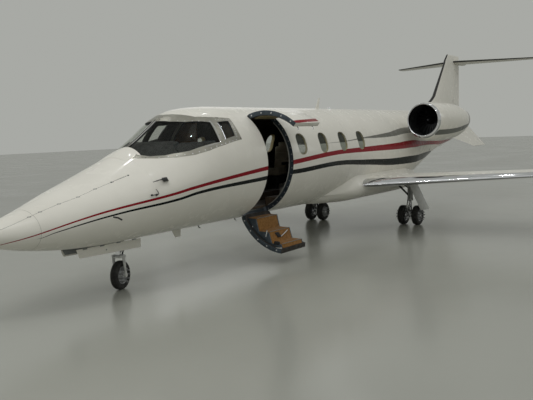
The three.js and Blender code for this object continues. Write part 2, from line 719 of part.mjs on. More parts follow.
function makeTailplane() {
  const up = new THREE.Vector3(0, 0, 1);
  let blank = loft([-1, 0, 1].map((side) => {
    const y = side ? tail.half : 0;
    const chord = tailLine(y, tail.rootChord, tail.tipChord);
    const lead = at(tailLine(y, tail.rootLead, tail.tipLead), side * y, tail.level);
    return wingRing(lead, chord, chord * 0.09, up, true);
  }));
  for (const [name, side] of Object.entries(lateral)) {
    const ends = [elevator.inner, elevator.outer];
    const radii = ends.map((y) => tailLine(y, tail.rootChord, tail.tipChord) * 0.032);
    const [start, end] = ends.map((y) => tailHinge(side, y));
    const split = splitSurface(blank, start, end, radii, up);
    addSolid(`elevator_${name}`, split.surface, 'gloss');
    blank = split.rest;
  }
  const cap = loft(capSections.map(([height, lead, trail, thick]) => wingRing(
    at(lead, 0, height), trail - lead, thick, new THREE.Vector3(0, 1, 0), true)));
  const bullet = loft(bulletSections.map(([station, half, low, high]) => Array.from({ length: 16 }, (_, i) => {
    const angle = i * Math.PI / 8;
    return at(station, Math.cos(angle) * half, (low + high) / 2 + Math.sin(angle) * (high - low) / 2);
  })));
  addSolid('stabiliser', blank.add(cap).add(bullet), 'gloss');
}

// Delta fins under the tail, each on a plane that leans outward: distance down it, edges, thickness.
function makeVentralFins() {
  const lean = THREE.MathUtils.degToRad(49.5);
  const ridge = 2468;
  for (const [name, side] of Object.entries(lateral)) {
    const out = new THREE.Vector3(0, side * Math.cos(lean), -Math.sin(lean));
    const thick = new THREE.Vector3(0, side * Math.sin(lean), Math.cos(lean));
    const rows = [[260, 13230, 17150, 46], [1140, 16050, 17200, 18]];
    const rings = rows.map(([reach, lead, trail, depth]) => wingRing(
      at(lead, 0, ridge).addScaledVector(out, reach), trail - lead, depth, thick, true));
    addSolid(`delta_fin_${name}`, loft(rings).subtract(hullSolid(12900, hullEnd, -touch)), 'gloss');
  }
}

function makeNoseGear() {
  const s = wheelbaseStations.nose;
  const axle = noseTyre.radius;
  const top = wellSize.top - touch;
  const leg = joined([
    rod(at(s - 30, 0, 600), at(s - 30, 0, top), 62, 62, 20),
    rod(at(s - 30, -120, 1000), at(s - 30, 120, 1000), 40),
    rod(at(s - 520, 0, 1080), at(s - 60, 0, 700), 24),
    box(at(s - 560, -60, 1040), at(s - 480, 60, top)),
  ]);
  addSolid('nose_leg', leg, 'metal');
  const fork = joined([
    rod(at(s - 30, 0, 500), at(s - 30, 0, 600 - run), 46, 46, 20),
    box(at(s - 85, -106, 480), at(s + 40, 106, 522)),
    ...[-1, 1].map((side) => rod(at(s - 25, side * 88, 500), at(s, side * 88, axle), 20, 24, 12)),
    rod(at(s, -108, axle), at(s, 108, axle), 16),
    box(at(s - 160, -30, 485), at(s - 80, 30, 522)),
  ]);
  const pivot = at(s - steering.trail, 0, 0);
  const turn = { z: THREE.MathUtils.degToRad(steering.turned) };
  addTurned('nose_fork', fork, 'metal', pivot, turn);
  addTurned('nose_wheel', wheelSolid(at(s, 0, axle), noseTyre, 122, 16), 'rubber', pivot, turn);
  for (const [name, side] of Object.entries(lateral)) {
    const panel = [[wellSize.fore + 40, 735], [wellSize.aft - 20, 735], [wellSize.aft - 20, 600],
      [wellSize.fore + 90, 622]];
    const y = side * (wellSize.half + 10);
    const door = prismAlongY(outline(panel), y - 9, y + 9);
    const arm = box(at(s - 420, y - 12, 700), at(s - 360, y + 12, 770));
    const hung = door.add(arm).subtract(hullSolid(700, 4000, -touch));
    addSolid(`nose_gear_door_${name}`, hung, 'gloss');
  }
}

// A tyre and its rim turned as one, with a bore that runs on the axle.
function wheelSolid(axle, { radius, width }, rimRadius, axleRadius) {
  const half = width / 2;
  const flank = [
    [0.55, axleRadius + 1], [0.55, rimRadius * 0.72], [1, rimRadius * 1.12], [1, radius * 0.85],
    [0.8, radius * 0.96], [0.42, radius],
  ];
  const rows = [...flank.map(([across, r]) => [-across, r]), ...flank.reverse()];
  const points = rows.map(([across, r]) => new THREE.Vector2(r, across * half));
  return toSolid(new THREE.LatheGeometry([...points, points[0]], 24)).translate(axle.toArray());
}

function makeMainGear(name, side) {
  const s = wheelbaseStations.main;
  const y = side * mainTrack / 2;
  const axle = mainTyre.radius;
  const axleRadius = 30;
  const leg = joined([
    rod(at(s, y, 560), at(s, y, legTop.level - touch), 62, 62, 20),
    rod(at(s, y, axle), at(s, y, 570), 44, 44, 20),
    rod(at(s, y - 235, axle), at(s, y + 235, axle), axleRadius),
    rod(at(s, y - 80, 940), at(s, y + 80, 940), 40),
    box(at(s - 70, y - 48, 560), at(s - 40, y + 48, 620)),
    box(at(s - 120, y - 30, 450), at(s - 50, y + 30, 600)),
  ]);
  addSolid(`main_leg_${name}`, leg, 'metal');
  for (const [place, step] of Object.entries({ inner: -side, outer: side })) {
    const centre = at(s, y + step * mainTyre.spacing / 2, axle);
    addSolid(`main_wheel_${place}_${name}`, wheelSolid(centre, mainTyre, 128, axleRadius), 'rubber');
  }
  // The leg's door leans outboard: station, distance out from the leg, height.
  const panel = [[s - 300, 90, 985], [s + 160, 90, 985], [s + 410, 290, 325], [s - 80, 290, 345]];
  const plate = loft([-9, 9].map((shift) => panel.map(
    ([station, out, z]) => at(station, y + side * (out + shift), z))));
  const stay = box(at(s - 20, Math.min(y, y + side * 160), 740), at(s + 20, Math.max(y, y + side * 160), 770));
  const cut = wingBlank(side).translate([0, 0, -touch]);
  addSolid(`main_gear_door_${name}`, plate.add(stay).subtract(cut).subtract(leg), 'gloss');
}

function hingePoint(degrees) {
  const angle = THREE.MathUtils.degToRad(degrees);
  const radius = hullRadius + 2;
  return at(door.fore, -Math.cos(angle) * radius, hullAxis + Math.sin(angle) * radius);
}

// Cabin furniture stands on a floor that steps down to the aisle.
function makeFloor() {
  const under = hullSolid(2330, 10300, wall + touch, innerSides);
  const slab = box(at(2300, -900, 600), at(10200, 900, floorLevel.ledge));
  const aisle = box(at(4350, -floorLevel.aisleHalf, floorLevel.aisle), at(10300, floorLevel.aisleHalf, 1200));
  const sill = box(at(door.fore - 60, -900, 600), at(door.aft + 60, -floorLevel.aisleHalf, 1200));
  addSolid('cabin_floor', under.intersect(slab).subtract(aisle).subtract(sill).subtract(noseWell()), 'carpet');
}

function makeFlightDeck() {
  const floor = floorLevel.ledge + touch;
  const room = hullSolid(2300, panelEnds.cockpit, cockpitWall + 10, innerSides);
  const desk = prismAlongY(outline([[2440, 1560], [2440, 1960], [2790, 2020], [2860, 1990], [2900, 1560]]), -700, 700);
  const pedestal = box(at(2620, -140, floor), at(3480, 140, 1500));
  const foot = box(at(2600, -560, floor), at(2660, 560, 1600));
  addSolid('instrument_panel', joined([desk, pedestal, foot]).intersect(room), 'dark');
  for (const [name, side] of Object.entries(lateral)) {
    addSolid(`pilot_seat_${name}`, seat(3280, side * 400, floor, 1, 480, 1110).intersect(room), 'leather');
  }
  const passage = box(at(4300, -290, 850), at(4500, 290, 2450));
  const bulkhead = hullSolid(4345, 4385, wall + touch, innerSides)
    .intersect(box(at(4300, -1000, floor), at(4500, 1000, 3000)));
  addSolid('flight_deck_divider', bulkhead.subtract(passage), 'trim');
}

// A seat in side view, facing forward (1) or aft (-1): cushion on a narrow base, then the back.
function seat(station, y, floor, facing, width, height) {
  const profile = [
    [120, 0], [120, 230], [0, 250], [0, 400], [470, 380], [560, height], [660, height],
    [590, 330], [520, 230], [420, 230], [420, 0],
  ].map(([along, rise]) => [station + (facing > 0 ? along : 660 - along), floor + rise]);
  return prismAlongY(outline(profile), y - width / 2, y + width / 2);
}

// Cabin seats: station of the fore edge, side, which way it faces.
const cabinSeats = {
  left: [6650, -1, -1], right: [6900, 1, 1],
};

function makeCabinFurniture() {
  const floor = floorLevel.ledge + touch;
  const inside = hullSolid(4500, 9000, wall + 15, innerSides);
  for (const [name, [station, side, facing]] of Object.entries(cabinSeats)) {
    const chair = seat(station, side * 560, floor, facing, 480, 1000).intersect(inside);
    addSolid(`cabin_seat_${name}`, chair, 'leather');
  }
  const cabinet = box(at(4600, 420, floor), at(5420, 800, 1900));
  addSolid('galley_cabinet', cabinet.intersect(inside), 'trim');
}

function makeDoor() {
  const lip = THREE.MathUtils.radToDeg(door.gap / 2 / hullRadius);
  const corners = doorCorners(0, -door.gap / 2, door.corner);
  const leaf = (low, high) => prismAlongX(
    sector(hullRadius - wall, hullRadius, low + lip, high - lip), door.fore, door.aft, 16).subtract(corners);
  const upperPivot = hingePoint(door.top);
  const lowerPivot = hingePoint(door.bottom);
  const upperTurn = THREE.MathUtils.degToRad(-door.upperSwing);
  const lowerTurn = THREE.MathUtils.degToRad(door.lowerSwing);
  addTurned('door_upper', leaf(door.split, door.top), 'gloss', upperPivot, { x: upperTurn });
  addTurned('door_lower', leaf(door.bottom, door.split), 'gloss', lowerPivot, { x: lowerTurn });
  const centre = new THREE.Vector3(0, 0, hullAxis).sub(new THREE.Vector3(0, lowerPivot.y, lowerPivot.z));
  centre.applyAxisAngle(new THREE.Vector3(1, 0, 0), lowerTurn).add(new THREE.Vector3(0, lowerPivot.y, lowerPivot.z));
  const inside = rod(at(door.fore, centre.y, centre.z), at(door.aft, centre.y, centre.z),
    hullRadius - wall - touch, hullRadius - wall - touch, 64);
  const treads = outline([[-430, 765], [-640, 760], [-690, 545], [-900, 540], [-955, 352],
    [-1150, 348], [-1185, 200], [-430, 200]]);
  addSolid('door_steps', prismAlongX(treads, door.fore + 50, door.aft - 50).intersect(inside), 'carpet');
}

makeNose();
makeFlightDeckShell();
makeCabinShell();
makeAftFuselage();
makeFairing();
makeFin();
makeTailplane();
makeVentralFins();
makeNoseGear();
makeFloor();
makeFlightDeck();
makeCabinFurniture();
makeDoor();
for (const [name, side] of Object.entries(lateral)) {
  makeWing(name, side);
  makeEngine(name, side);
  makeMainGear(name, side);
}

export default jet;
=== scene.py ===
import math

import bpy
from mathutils import Matrix, Vector


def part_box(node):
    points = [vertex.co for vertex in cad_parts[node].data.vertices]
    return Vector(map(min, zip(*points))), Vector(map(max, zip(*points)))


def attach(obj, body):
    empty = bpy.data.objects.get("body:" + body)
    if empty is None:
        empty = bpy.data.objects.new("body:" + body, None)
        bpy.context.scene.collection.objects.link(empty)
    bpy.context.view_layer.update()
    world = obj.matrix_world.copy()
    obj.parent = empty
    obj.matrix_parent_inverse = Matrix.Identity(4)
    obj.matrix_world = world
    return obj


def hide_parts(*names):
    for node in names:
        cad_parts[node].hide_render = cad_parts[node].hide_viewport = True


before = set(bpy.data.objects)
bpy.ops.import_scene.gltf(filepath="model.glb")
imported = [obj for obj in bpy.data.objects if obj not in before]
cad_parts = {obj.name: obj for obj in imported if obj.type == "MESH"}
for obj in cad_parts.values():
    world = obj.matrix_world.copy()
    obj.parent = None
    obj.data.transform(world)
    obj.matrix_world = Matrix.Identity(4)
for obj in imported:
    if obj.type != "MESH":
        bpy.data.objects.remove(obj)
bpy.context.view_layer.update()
noseX = -8.94  # the nose tip in the frame, metres
sides = {'left': -1, 'right': 1}


def at(station, y, z):  # millimetres aft of the nose tip, to starboard and up
    return Vector((station / 1000 + noseX, y / 1000, z / 1000))


# Camera, floor and light
cameraValues = {
    'place': (-13.284, -7.361, 2.197), 'yaw': 54.489, 'down': 5.673, 'roll': -2.171, 'lens': 44.62,
}
lightValues = {
    'overhead': {'place': (-6.6, -2.4, 8.6), 'size': (15.0, 9.0), 'power': 85, 'aim': (-6.0, -0.6, 1.0)},
    'front': {'place': (-15.5, -9.5, 5.2), 'size': (7.0, 4.0), 'power': 32, 'aim': (-4.0, 0.0, 1.6)},
    'rear': {'place': (9.0, 9.5, 6.5), 'size': (8.0, 5.0), 'power': 60, 'aim': (3.0, 0.0, 2.0)},
    'nose': {'place': (-9.8, -1.2, 7.4), 'size': (2.6, 2.6), 'power': 62, 'aim': (-8.4, -0.2, 1.2)},
    'tail': {'place': (9.6, -9.0, 5.4), 'size': (3.0, 3.0), 'power': 70, 'aim': (7.9, 0.0, 3.8)},
}
lampValues = {'along': (-13.5, -9.0, -4.5, 0.0, 4.5), 'across': (-6.5, -2.2, 2.2), 'height': 7.8, 'size': 0.22,
    'power': 15}


def placeCamera():
    yaw, down, roll = (math.radians(cameraValues[k]) for k in ('yaw', 'down', 'roll'))
    ahead = Vector((math.sin(yaw) * math.cos(down), math.cos(yaw) * math.cos(down), -math.sin(down)))
    right = Vector((math.cos(yaw), -math.sin(yaw), 0))
    up = right.cross(ahead)
    right, up = (math.cos(roll) * right + math.sin(roll) * up, -math.sin(roll) * right + math.cos(roll) * up)
    data = bpy.data.cameras.new('camera')
    data.lens = cameraValues['lens']
    data.sensor_width = 36
    data.clip_end = 400
    camera = bpy.data.objects.new('camera', data)
    bpy.context.scene.collection.objects.link(camera)
    turn = Matrix((right, up, -ahead)).transposed().to_4x4()
    camera.matrix_world = Matrix.Translation(cameraValues['place']) @ turn
    bpy.context.scene.camera = camera


def placeLights():
    rows = dict(lightValues)
    for x in lampValues['along']:  # small lamps overhead that sparkle in the clear coat
        for y in lampValues['across']:
            rows[f'lamp {x} {y}'] = {'place': (x, y, lampValues['height']), 'size': (lampValues['size'],) * 2,
                'power': lampValues['power'], 'aim': (x, y + 0.01, 0)}
    for name, row in rows.items():
        data = bpy.data.lights.new(name, 'AREA')
        data.shape = 'RECTANGLE'
        data.size, data.size_y = row['size']
        data.energy = row['power']
        light = bpy.data.objects.new(name, data)
        bpy.context.scene.collection.objects.link(light)
        light.location = row['place']
        light.rotation_euler = (Vector(row['aim']) - light.location).to_track_quat('-Z', 'Y').to_euler()
    world = bpy.data.worlds.new('studio')
    world.use_nodes = True
    world.node_tree.nodes['Background'].inputs['Color'].default_value = (0.98, 1.0, 0.94, 1)
    world.node_tree.nodes['Background'].inputs['Strength'].default_value = 0.4
    bpy.context.scene.world = world
    bpy.context.scene.view_settings.view_transform = 'Standard'


# Ways of working with meshes
def turns(count):  # equal angles round a circle
    return [j * math.tau / count for j in range(count)]


def deselectAll():
    if bpy.context.mode != 'OBJECT':
        bpy.ops.object.mode_set(mode='OBJECT')
    bpy.ops.object.select_all(action='DESELECT')


def pick(*some):
    deselectAll()
    for one in some:
        one.select_set(True)
    bpy.context.view_layer.objects.active = some[0]
    return some[0]


def openEdit(piece, kind='VERT'):
    pick(piece)
    bpy.ops.object.mode_set(mode='EDIT')
    bpy.ops.mesh.select_mode(type=kind)
    bpy.ops.mesh.select_all(action='SELECT')


def closeEdit():
    bpy.ops.object.mode_set(mode='OBJECT')


def closeSeams(piece, fill):
    openEdit(piece)
    bpy.ops.mesh.remove_doubles(threshold=2e-5)
    if fill:
        bpy.ops.mesh.fill_holes(sides=0)
        bpy.ops.mesh.select_all(action='SELECT')
    bpy.ops.mesh.normals_make_consistent(inside=False)
    closeEdit()


def modify(piece, kind, **settings):  # adds one modifier and applies it
    modifier = piece.modifiers.new(kind.lower(), kind)
    for key, value in settings.items():
        setattr(modifier, key, value)
    pick(piece)
    bpy.ops.object.modifier_apply(modifier=modifier.name)
    return piece


def carve(piece, cutter, operation='DIFFERENCE', keep=False):
    modify(piece, 'BOOLEAN', operation=operation, solver='EXACT', object=cutter)
    if not keep:
        bpy.data.objects.remove(cutter)
    return piece


def roundEdges(piece, width, segments=2, angle=32):
    return modify(piece, 'BEVEL', width=width, segments=segments, limit_method='ANGLE',
        angle_limit=math.radians(angle), harden_normals=False)


def loft(name, rings, fill=True, openSides=False, band=0, rowLooks=()):  # a grid laid over rings of points
    rows, count = len(rings) - 1, len(rings[0])
    columns = count - 1 if openSides else count
    deselectAll()
    bpy.ops.mesh.primitive_grid_add(x_subdivisions=rows, y_subdivisions=columns, size=2)
    piece = bpy.context.object
    piece.name = name
    if band:
        for face in piece.data.polygons:
            column = int((face.center.y + 1) / 2 * columns)
            face.material_index = 1 if column < band or column >= columns - band else 0
    for face in piece.data.polygons if rowLooks else ():
        face.material_index = rowLooks[int((face.center.x + 1) / 2 * rows)]
    for vertex in piece.data.vertices:
        i = round((vertex.co.x + 1) / 2 * rows)
        j = round((vertex.co.y + 1) / 2 * columns)
        vertex.co = rings[i][j % count]
    closeSeams(piece, fill)
    return piece


def turned(name, profile, centre, axis=(1, 0, 0), steps=48):  # spins a profile of (along, radius) in metres
    deselectAll()
    bpy.ops.mesh.primitive_circle_add(vertices=len(profile), fill_type='NOTHING')
    piece = bpy.context.object
    piece.name = name
    axis, centre = Vector(axis).normalized(), Vector(centre)
    side = axis.orthogonal().normalized()
    for vertex, (along, radius) in zip(piece.data.vertices, profile):
        vertex.co = centre + axis * along + side * radius
    openEdit(piece)
    bpy.ops.mesh.spin(steps=steps, angle=math.tau, center=centre, axis=axis)
    bpy.ops.mesh.select_all(action='SELECT')
    closeEdit()
    closeSeams(piece, False)
    return piece


def tube(points, radius, count=10, fill=True, name='bar'):  # a round bar, its radius one value or a list
    points = [Vector(p) for p in points]
    radii = radius if isinstance(radius, (list, tuple)) else [radius] * len(points)
    rings, side = [], None
    for i, point in enumerate(points):
        along = (points[min(i + 1, len(points) - 1)] - points[max(i - 1, 0)]).normalized()
        side = along.orthogonal() if side is None else side - along * side.dot(along)
        side.normalize()
        other = along.cross(side)
        rings.append([point + (math.cos(a) * side + math.sin(a) * other) * radii[i] for a in turns(count)])
    return loft(name, rings, fill)


def bars(place, *rows):  # round bars by their points about a place, with radius and facets
    s, y = place
    return [tube([at(s + a, y + b, z) for a, b, z in points], radius, count) for points, radius, count in rows]


def slab(name, outline, push, bevel=0.0, segments=2):  # a flat outline pushed into a plate
    deselectAll()
    bpy.ops.mesh.primitive_circle_add(vertices=len(outline), fill_type='NGON')
    piece = bpy.context.object
    piece.name = name
    for vertex, point in zip(piece.data.vertices, outline):
        vertex.co = point
    openEdit(piece)
    bpy.ops.mesh.extrude_region_move(TRANSFORM_OT_translate={'value': push})
    bpy.ops.mesh.select_all(action='SELECT')
    bpy.ops.mesh.normals_make_consistent(inside=False)
    closeEdit()
    return roundEdges(piece, bevel, segments) if bevel else piece


def block(name, low, high, bevel=0.0, segments=2):
    low, high = Vector(low), Vector(high)
    corners = [Vector((x, y, low.z)) for x, y in ((low.x, low.y), (high.x, low.y), (high.x, high.y),
        (low.x, high.y))]
    return slab(name, corners, (0, 0, high.z - low.z), bevel, segments)


def sideSlab(y, rows, across, bevel):  # a plate cut to rows of station and height
    return slab('plate', [at(s, y, z) for s, z in rows], (0, across / 1000, 0), bevel)


def join(name, *some):
    some = [s for s in some if s]
    pick(*some)
    bpy.ops.object.join()
    some[0].name = name
    return some[0]


def dress(piece, *materials):  # fills the slots in order, so that faces keep their slot numbers
    slots = piece.data.materials
    for i, material in enumerate(materials):
        if i < len(slots):
            slots[i] = material
        else:
            slots.append(material)
    return piece


def twin(piece, name, flip=False):  # a copy with its own mesh, mirrored to the other side if asked
    other = piece.copy()
    other.data = piece.data.copy()
    other.name = name
    bpy.context.scene.collection.objects.link(other)
    if flip:
        other.data.transform(Matrix.Diagonal((1, -1, 1, 1)))
        other.data.flip_normals()
    return other


def hand(piece, body, slot, *replaced, angle=32):  # shades a piece, rides it on its body and hides the CAD parts it stands for
    pick(piece)
    bpy.ops.object.shade_smooth_by_angle(angle=math.radians(angle))
    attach(piece, body)
    if replaced:
        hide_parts(*replaced)
    return piece


def handPair(piece, stem, body, slot, replaced=None, angle=32):  # the port piece and its mirrored twin
    other = twin(piece, f'{stem}_right', True)
    piece.name = f'{stem}_left'
    for side, one in (('left', piece), ('right', other)):
        nodes = [f'{replaced}_{side}'] if replaced else []
        hand(one, body.replace('SIDE', side), slot, *nodes, angle=angle)


def wear(piece, look, slot, body='airframe', *replaced, **more):  # one finish, then handed over
    return hand(dress(piece, use[look]), body, slot, *replaced, **more)


def wearPair(piece, look, stem, slot, body='airframe', replaced=None, **more):
    handPair(dress(piece, use[look]), stem, body, slot, replaced, **more)


def lay(name, some, look, slot, body='airframe', *replaced, **more):  # joins parts under one finish
    return wear(join(name, *some), look, slot, body, *replaced, **more)


def layPair(stem, some, look, slot, body='airframe', replaced=None, **more):
    wearPair(join(stem, *some), look, stem, slot, body, replaced, **more)


# Ways of building materials
def node(material, kind, inputs=None, **settings):
    new = material.node_tree.nodes.new(kind)
    for key, value in settings.items():
        setattr(new, key, value)
    for key, value in (inputs or {}).items():
        if isinstance(value, bpy.types.NodeSocket):
            material.node_tree.links.new(value, new.inputs[key])
        else:
            new.inputs[key].default_value = value
    return new


def calc(material, operation, first, second=0.0):
    return node(material, 'ShaderNodeMath', {0: first, 1: second}, operation=operation).outputs[0]


def place(material, attribute=None):
    if attribute:
        return node(material, 'ShaderNodeAttribute', attribute_name=attribute).outputs['Vector']
    return node(material, 'ShaderNodeTexCoord').outputs['Object']


def noise(material, where, scale, detail=3.0, stretch=(1, 1, 1)):
    if stretch != (1, 1, 1):
        where = node(material, 'ShaderNodeMapping', {'Vector': where, 'Scale': stretch}).outputs[0]
    return node(material, 'ShaderNodeTexNoise', {'Vector': where, 'Scale': scale,
        'Detail': detail}).outputs['Fac']


def blendColours(material, factor, first, second):
    new = node(material, 'ShaderNodeMix', data_type='RGBA')
    for index, value in ((0, factor), (6, first), (7, second)):
        if isinstance(value, bpy.types.NodeSocket):
            material.node_tree.links.new(value, new.inputs[index])
        else:
            new.inputs[index].default_value = (*value, 1) if isinstance(value, tuple) else value
    return new.outputs[2]


def spread(material, value, low, high, fromLow=0.3, fromHigh=0.7):
    return node(material, 'ShaderNodeMapRange', {'Value': value, 'From Min': fromLow, 'From Max': fromHigh,
        'To Min': low, 'To Max': high}).outputs[0]


def newMaterial(name, metallic=0.0, **sockets):
    material = bpy.data.materials.new(name)
    material.use_nodes = True
    shader = material.node_tree.nodes['Principled BSDF']
    shader.inputs['Metallic'].default_value = metallic
    for key, value in sockets.items():
        shader.inputs[key.replace('_', ' ')].default_value = value
    return material, shader


# Two tones, how many tone patches a metre, roughness range, grain and its depth, metal, then stretch and more
finishEnds = ((1, 1, 1), {})
finishes = {
    'primer grey': ((0.19, 0.2, 0.2), (0.26, 0.27, 0.27), 9, (0.4, 0.55), 260, 0.12, 0.0),
    'polished lip': ((0.62, 0.63, 0.65), (0.74, 0.75, 0.77), 5, (0.07, 0.17), 90, 0.03, 1.0, (1, 6, 1), {}),
    'brushed frame': ((0.2, 0.205, 0.2), (0.3, 0.3, 0.29), 7, (0.3, 0.46), 600, 0.1, 0.9, (0.08, 1, 1), {}),
    'window frame': ((0.25, 0.245, 0.21), (0.36, 0.35, 0.3), 5, (0.24, 0.4), 500, 0.08, 0.6, (0.1, 1, 1), {}),
    'chrome': ((0.7, 0.71, 0.73), (0.8, 0.8, 0.82), 12, (0.04, 0.1), 120, 0.02, 1.0, (1, 1, 0.2), {}),
    'gear enamel': ((0.5, 0.51, 0.5), (0.62, 0.62, 0.6), 14, (0.26, 0.42), 300, 0.08, 0.0),
    'wheel alloy': ((0.42, 0.43, 0.44), (0.56, 0.56, 0.57), 20, (0.28, 0.44), 420, 0.1, 0.75),
    'dark steel': ((0.035, 0.036, 0.038), (0.075, 0.073, 0.07), 22, (0.35, 0.6), 500, 0.15, 0.7),
    'nozzle metal': ((0.25, 0.235, 0.215), (0.4, 0.375, 0.34), 6, (0.28, 0.45), 240, 0.08, 1.0, (0.2, 1, 1),
        {}),
    # the fan's metal and the duct liner are near black: their own dark tones deepened with the painted shade
    # deep inside the inlet
    'blade metal painted shade': ((0.07, 0.073, 0.076), (0.12, 0.124, 0.13), 18, (0.28, 0.42), 300, 0.05, 1.0),
    'duct liner painted shade': ((0.012, 0.013, 0.013), (0.024, 0.026, 0.026), 12, (0.5, 0.7), 380, 0.25, 0.0, (1, 1, 1),
        {'Specular_IOR_Level': 0.2}),
    'tyre rubber': ((0.012, 0.012, 0.012), (0.03, 0.029, 0.027), 16, (0.62, 0.86), 520, 0.35, 0.0),
    'seal rubber': ((0.32, 0.32, 0.3), (0.42, 0.41, 0.38), 14, (0.5, 0.7), 700, 0.2, 0.0),
    'door edge': ((0.03, 0.042, 0.055), (0.06, 0.078, 0.095), 12, (0.26, 0.45), 420, 0.1, 0.2),
    # near black: the shade inside the cabin painted into its inner walls and the door leaves' inner faces
    'cabin painted shade': ((0.018, 0.015, 0.012), (0.034, 0.029, 0.024), 10, (0.6, 0.85), 700, 0.3, 0.0),
    'headliner': ((0.2, 0.165, 0.085), (0.28, 0.235, 0.125), 8, (0.7, 0.9), 900, 0.4, 0.0),
    'step carpet': ((0.2, 0.097, 0.028), (0.31, 0.16, 0.054), 30, (0.9, 1.0), 850, 0.9, 0.0, (1, 1, 1),
        {'Sheen_Weight': 0.08, 'Specular_IOR_Level': 0.15}),
    'floor carpet': ((0.075, 0.05, 0.03), (0.13, 0.09, 0.055), 26, (0.9, 1.0), 850, 0.9, 0.0, (1, 1, 1),
        {'Sheen_Weight': 0.3}),
    'black mat': ((0.008, 0.008, 0.008), (0.02, 0.02, 0.02), 40, (0.6, 0.85), 420, 0.8, 0.0),
    'cream leather': ((0.42, 0.36, 0.27), (0.54, 0.47, 0.36), 6, (0.36, 0.56), 300, 0.35, 0.0),
    'crew leather': ((0.14, 0.16, 0.18), (0.21, 0.235, 0.26), 6, (0.4, 0.6), 300, 0.35, 0.0),
    'wood veneer': ((0.1, 0.045, 0.02), (0.2, 0.1, 0.045), 5, (0.12, 0.24), 60, 0.04, 0.0, (0.15, 1, 4),
        {'Coat_Weight': 0.6}),
    'panel black': ((0.012, 0.012, 0.013), (0.028, 0.028, 0.03), 18, (0.5, 0.75), 650, 0.3, 0.0),
    'display glass': ((0.006, 0.008, 0.01), (0.012, 0.016, 0.02), 4, (0.06, 0.12), 20, 0.01, 0.0),
    'window shade': ((0.62, 0.61, 0.57), (0.72, 0.7, 0.66), 6, (0.6, 0.75), 400, 0.15, 0.0, (1, 1, 4), {}),
    # a dark sheet in each window's upper part: painted shade of the cabin seen through the glass
    'upper sheet painted shade': ((0.06, 0.056, 0.046), (0.1, 0.094, 0.078), 6, (0.6, 0.75), 400, 0.15, 0.0, (1, 1, 4), {}),
    'reveal tan': ((0.6, 0.48, 0.28), (0.74, 0.62, 0.38), 9, (0.4, 0.6), 500, 0.15, 0.0),
    'clear lens': ((0.75, 0.76, 0.78), (0.85, 0.86, 0.88), 9, (0.03, 0.08), 40, 0.02, 0.2, (1, 1, 1),
        {'Coat_Weight': 1.0}),
    'red lens': ((0.42, 0.01, 0.008), (0.55, 0.02, 0.015), 9, (0.05, 0.12), 40, 0.02, 0.0, (1, 1, 1),
        {'Coat_Weight': 1.0}),
}


def buildFinish(name):
    row = finishes[name]
    low, high, patch, rough, grain, depth, metallic, stretch, more = row + finishEnds[len(row) - 7:]
    material, shader = newMaterial(name, metallic, **more)
    where = place(material)
    patches = noise(material, where, patch, 4.0)
    fine = noise(material, where, grain, 2.0, stretch)
    links = material.node_tree.links
    links.new(blendColours(material, spread(material, patches, 0, 1), low, high), shader.inputs['Base Color'])
    links.new(spread(material, patches, rough[1], rough[0]), shader.inputs['Roughness'])
    bump = node(material, 'ShaderNodeBump', {'Strength': min(depth, 1), 'Distance': 0.0012, 'Height': fine})
    links.new(bump.outputs[0], shader.inputs['Normal'])
    return material


# Painted skin: cream white with the three swept stripes. Rows are station, height, half width, in millimetres.
stripeRows = {
    'red': ((0.25, 0.006, 0.014), [
        (150, 985, 2), (258, 1005, 5), (1219, 1229, 11), (1620, 1296, 14), (2598, 1417, 20), (2824, 1452, 22),
        (4663, 1635, 34), (5420, 1685, 40), (7160, 1795, 43), (8250, 1805, 52), (9970, 1817, 75),
        (10740, 1838, 86), (11250, 1833, 68), (12300, 1820, 50), (13500, 1795, 56), (14300, 1812, 58),
        (14760, 1812, 62), (15200, 1812, 0)]),
    'charcoal': ((0.005, 0.008, 0.008), [
        (560, 1020, 1), (752, 1070, 5), (1619, 1226, 12), (2612, 1320, 19), (3025, 1382, 22), (4674, 1471, 34),
        (5430, 1515, 39), (5680, 1520, 41), (7150, 1580, 45), (8250, 1535, 55), (10060, 1463, 82),
        (10740, 1463, 88), (11650, 1490, 86), (12600, 1538, 62), (13100, 1550, 0)]),
    'grey': ((0.2, 0.2, 0.18), [
        (6600, 1980, 0), (6840, 1985, 3), (7440, 1998, 7), (8360, 2048, 15), (8850, 2060, 30),
        (9650, 2092, 50), (10560, 2166, 68), (12720, 2190, 68), (13950, 2237, 60), (15600, 2306, 40),
        (16448, 2350, 10), (16900, 2360, 0)]),
    'nacelle grey': ((0.14, 0.145, 0.13), [
        (10318, 2095, 0), (10330, 2095, 60), (11250, 2120, 60), (11750, 2165, 60), (12250, 2225, 46),
        (12600, 2290, 16), (12700, 2300, 0)]),
}
paintValues = {
    'cream': ((0.74, 0.72, 0.66), (0.79, 0.77, 0.71)), 'hullEnd': 17560, 'tall': 3.0, 'wide': 0.1,
    'joints': (610, 7600, 10600, 12550, 14500, 16400), 'jointHalf': 0.0016,
}


def tableCurve(material, value, rows):
    new = node(material, 'ShaderNodeFloatCurve', {'Value': value})
    curve = new.mapping.curves[0]
    curve.points[0].location, curve.points[1].location = rows[0], rows[-1]
    for row in rows[1:-1]:
        curve.points.new(*row)
    for point in curve.points:
        point.handle_type = 'AUTO_CLAMPED'
    new.mapping.update()
    return new.outputs[0]


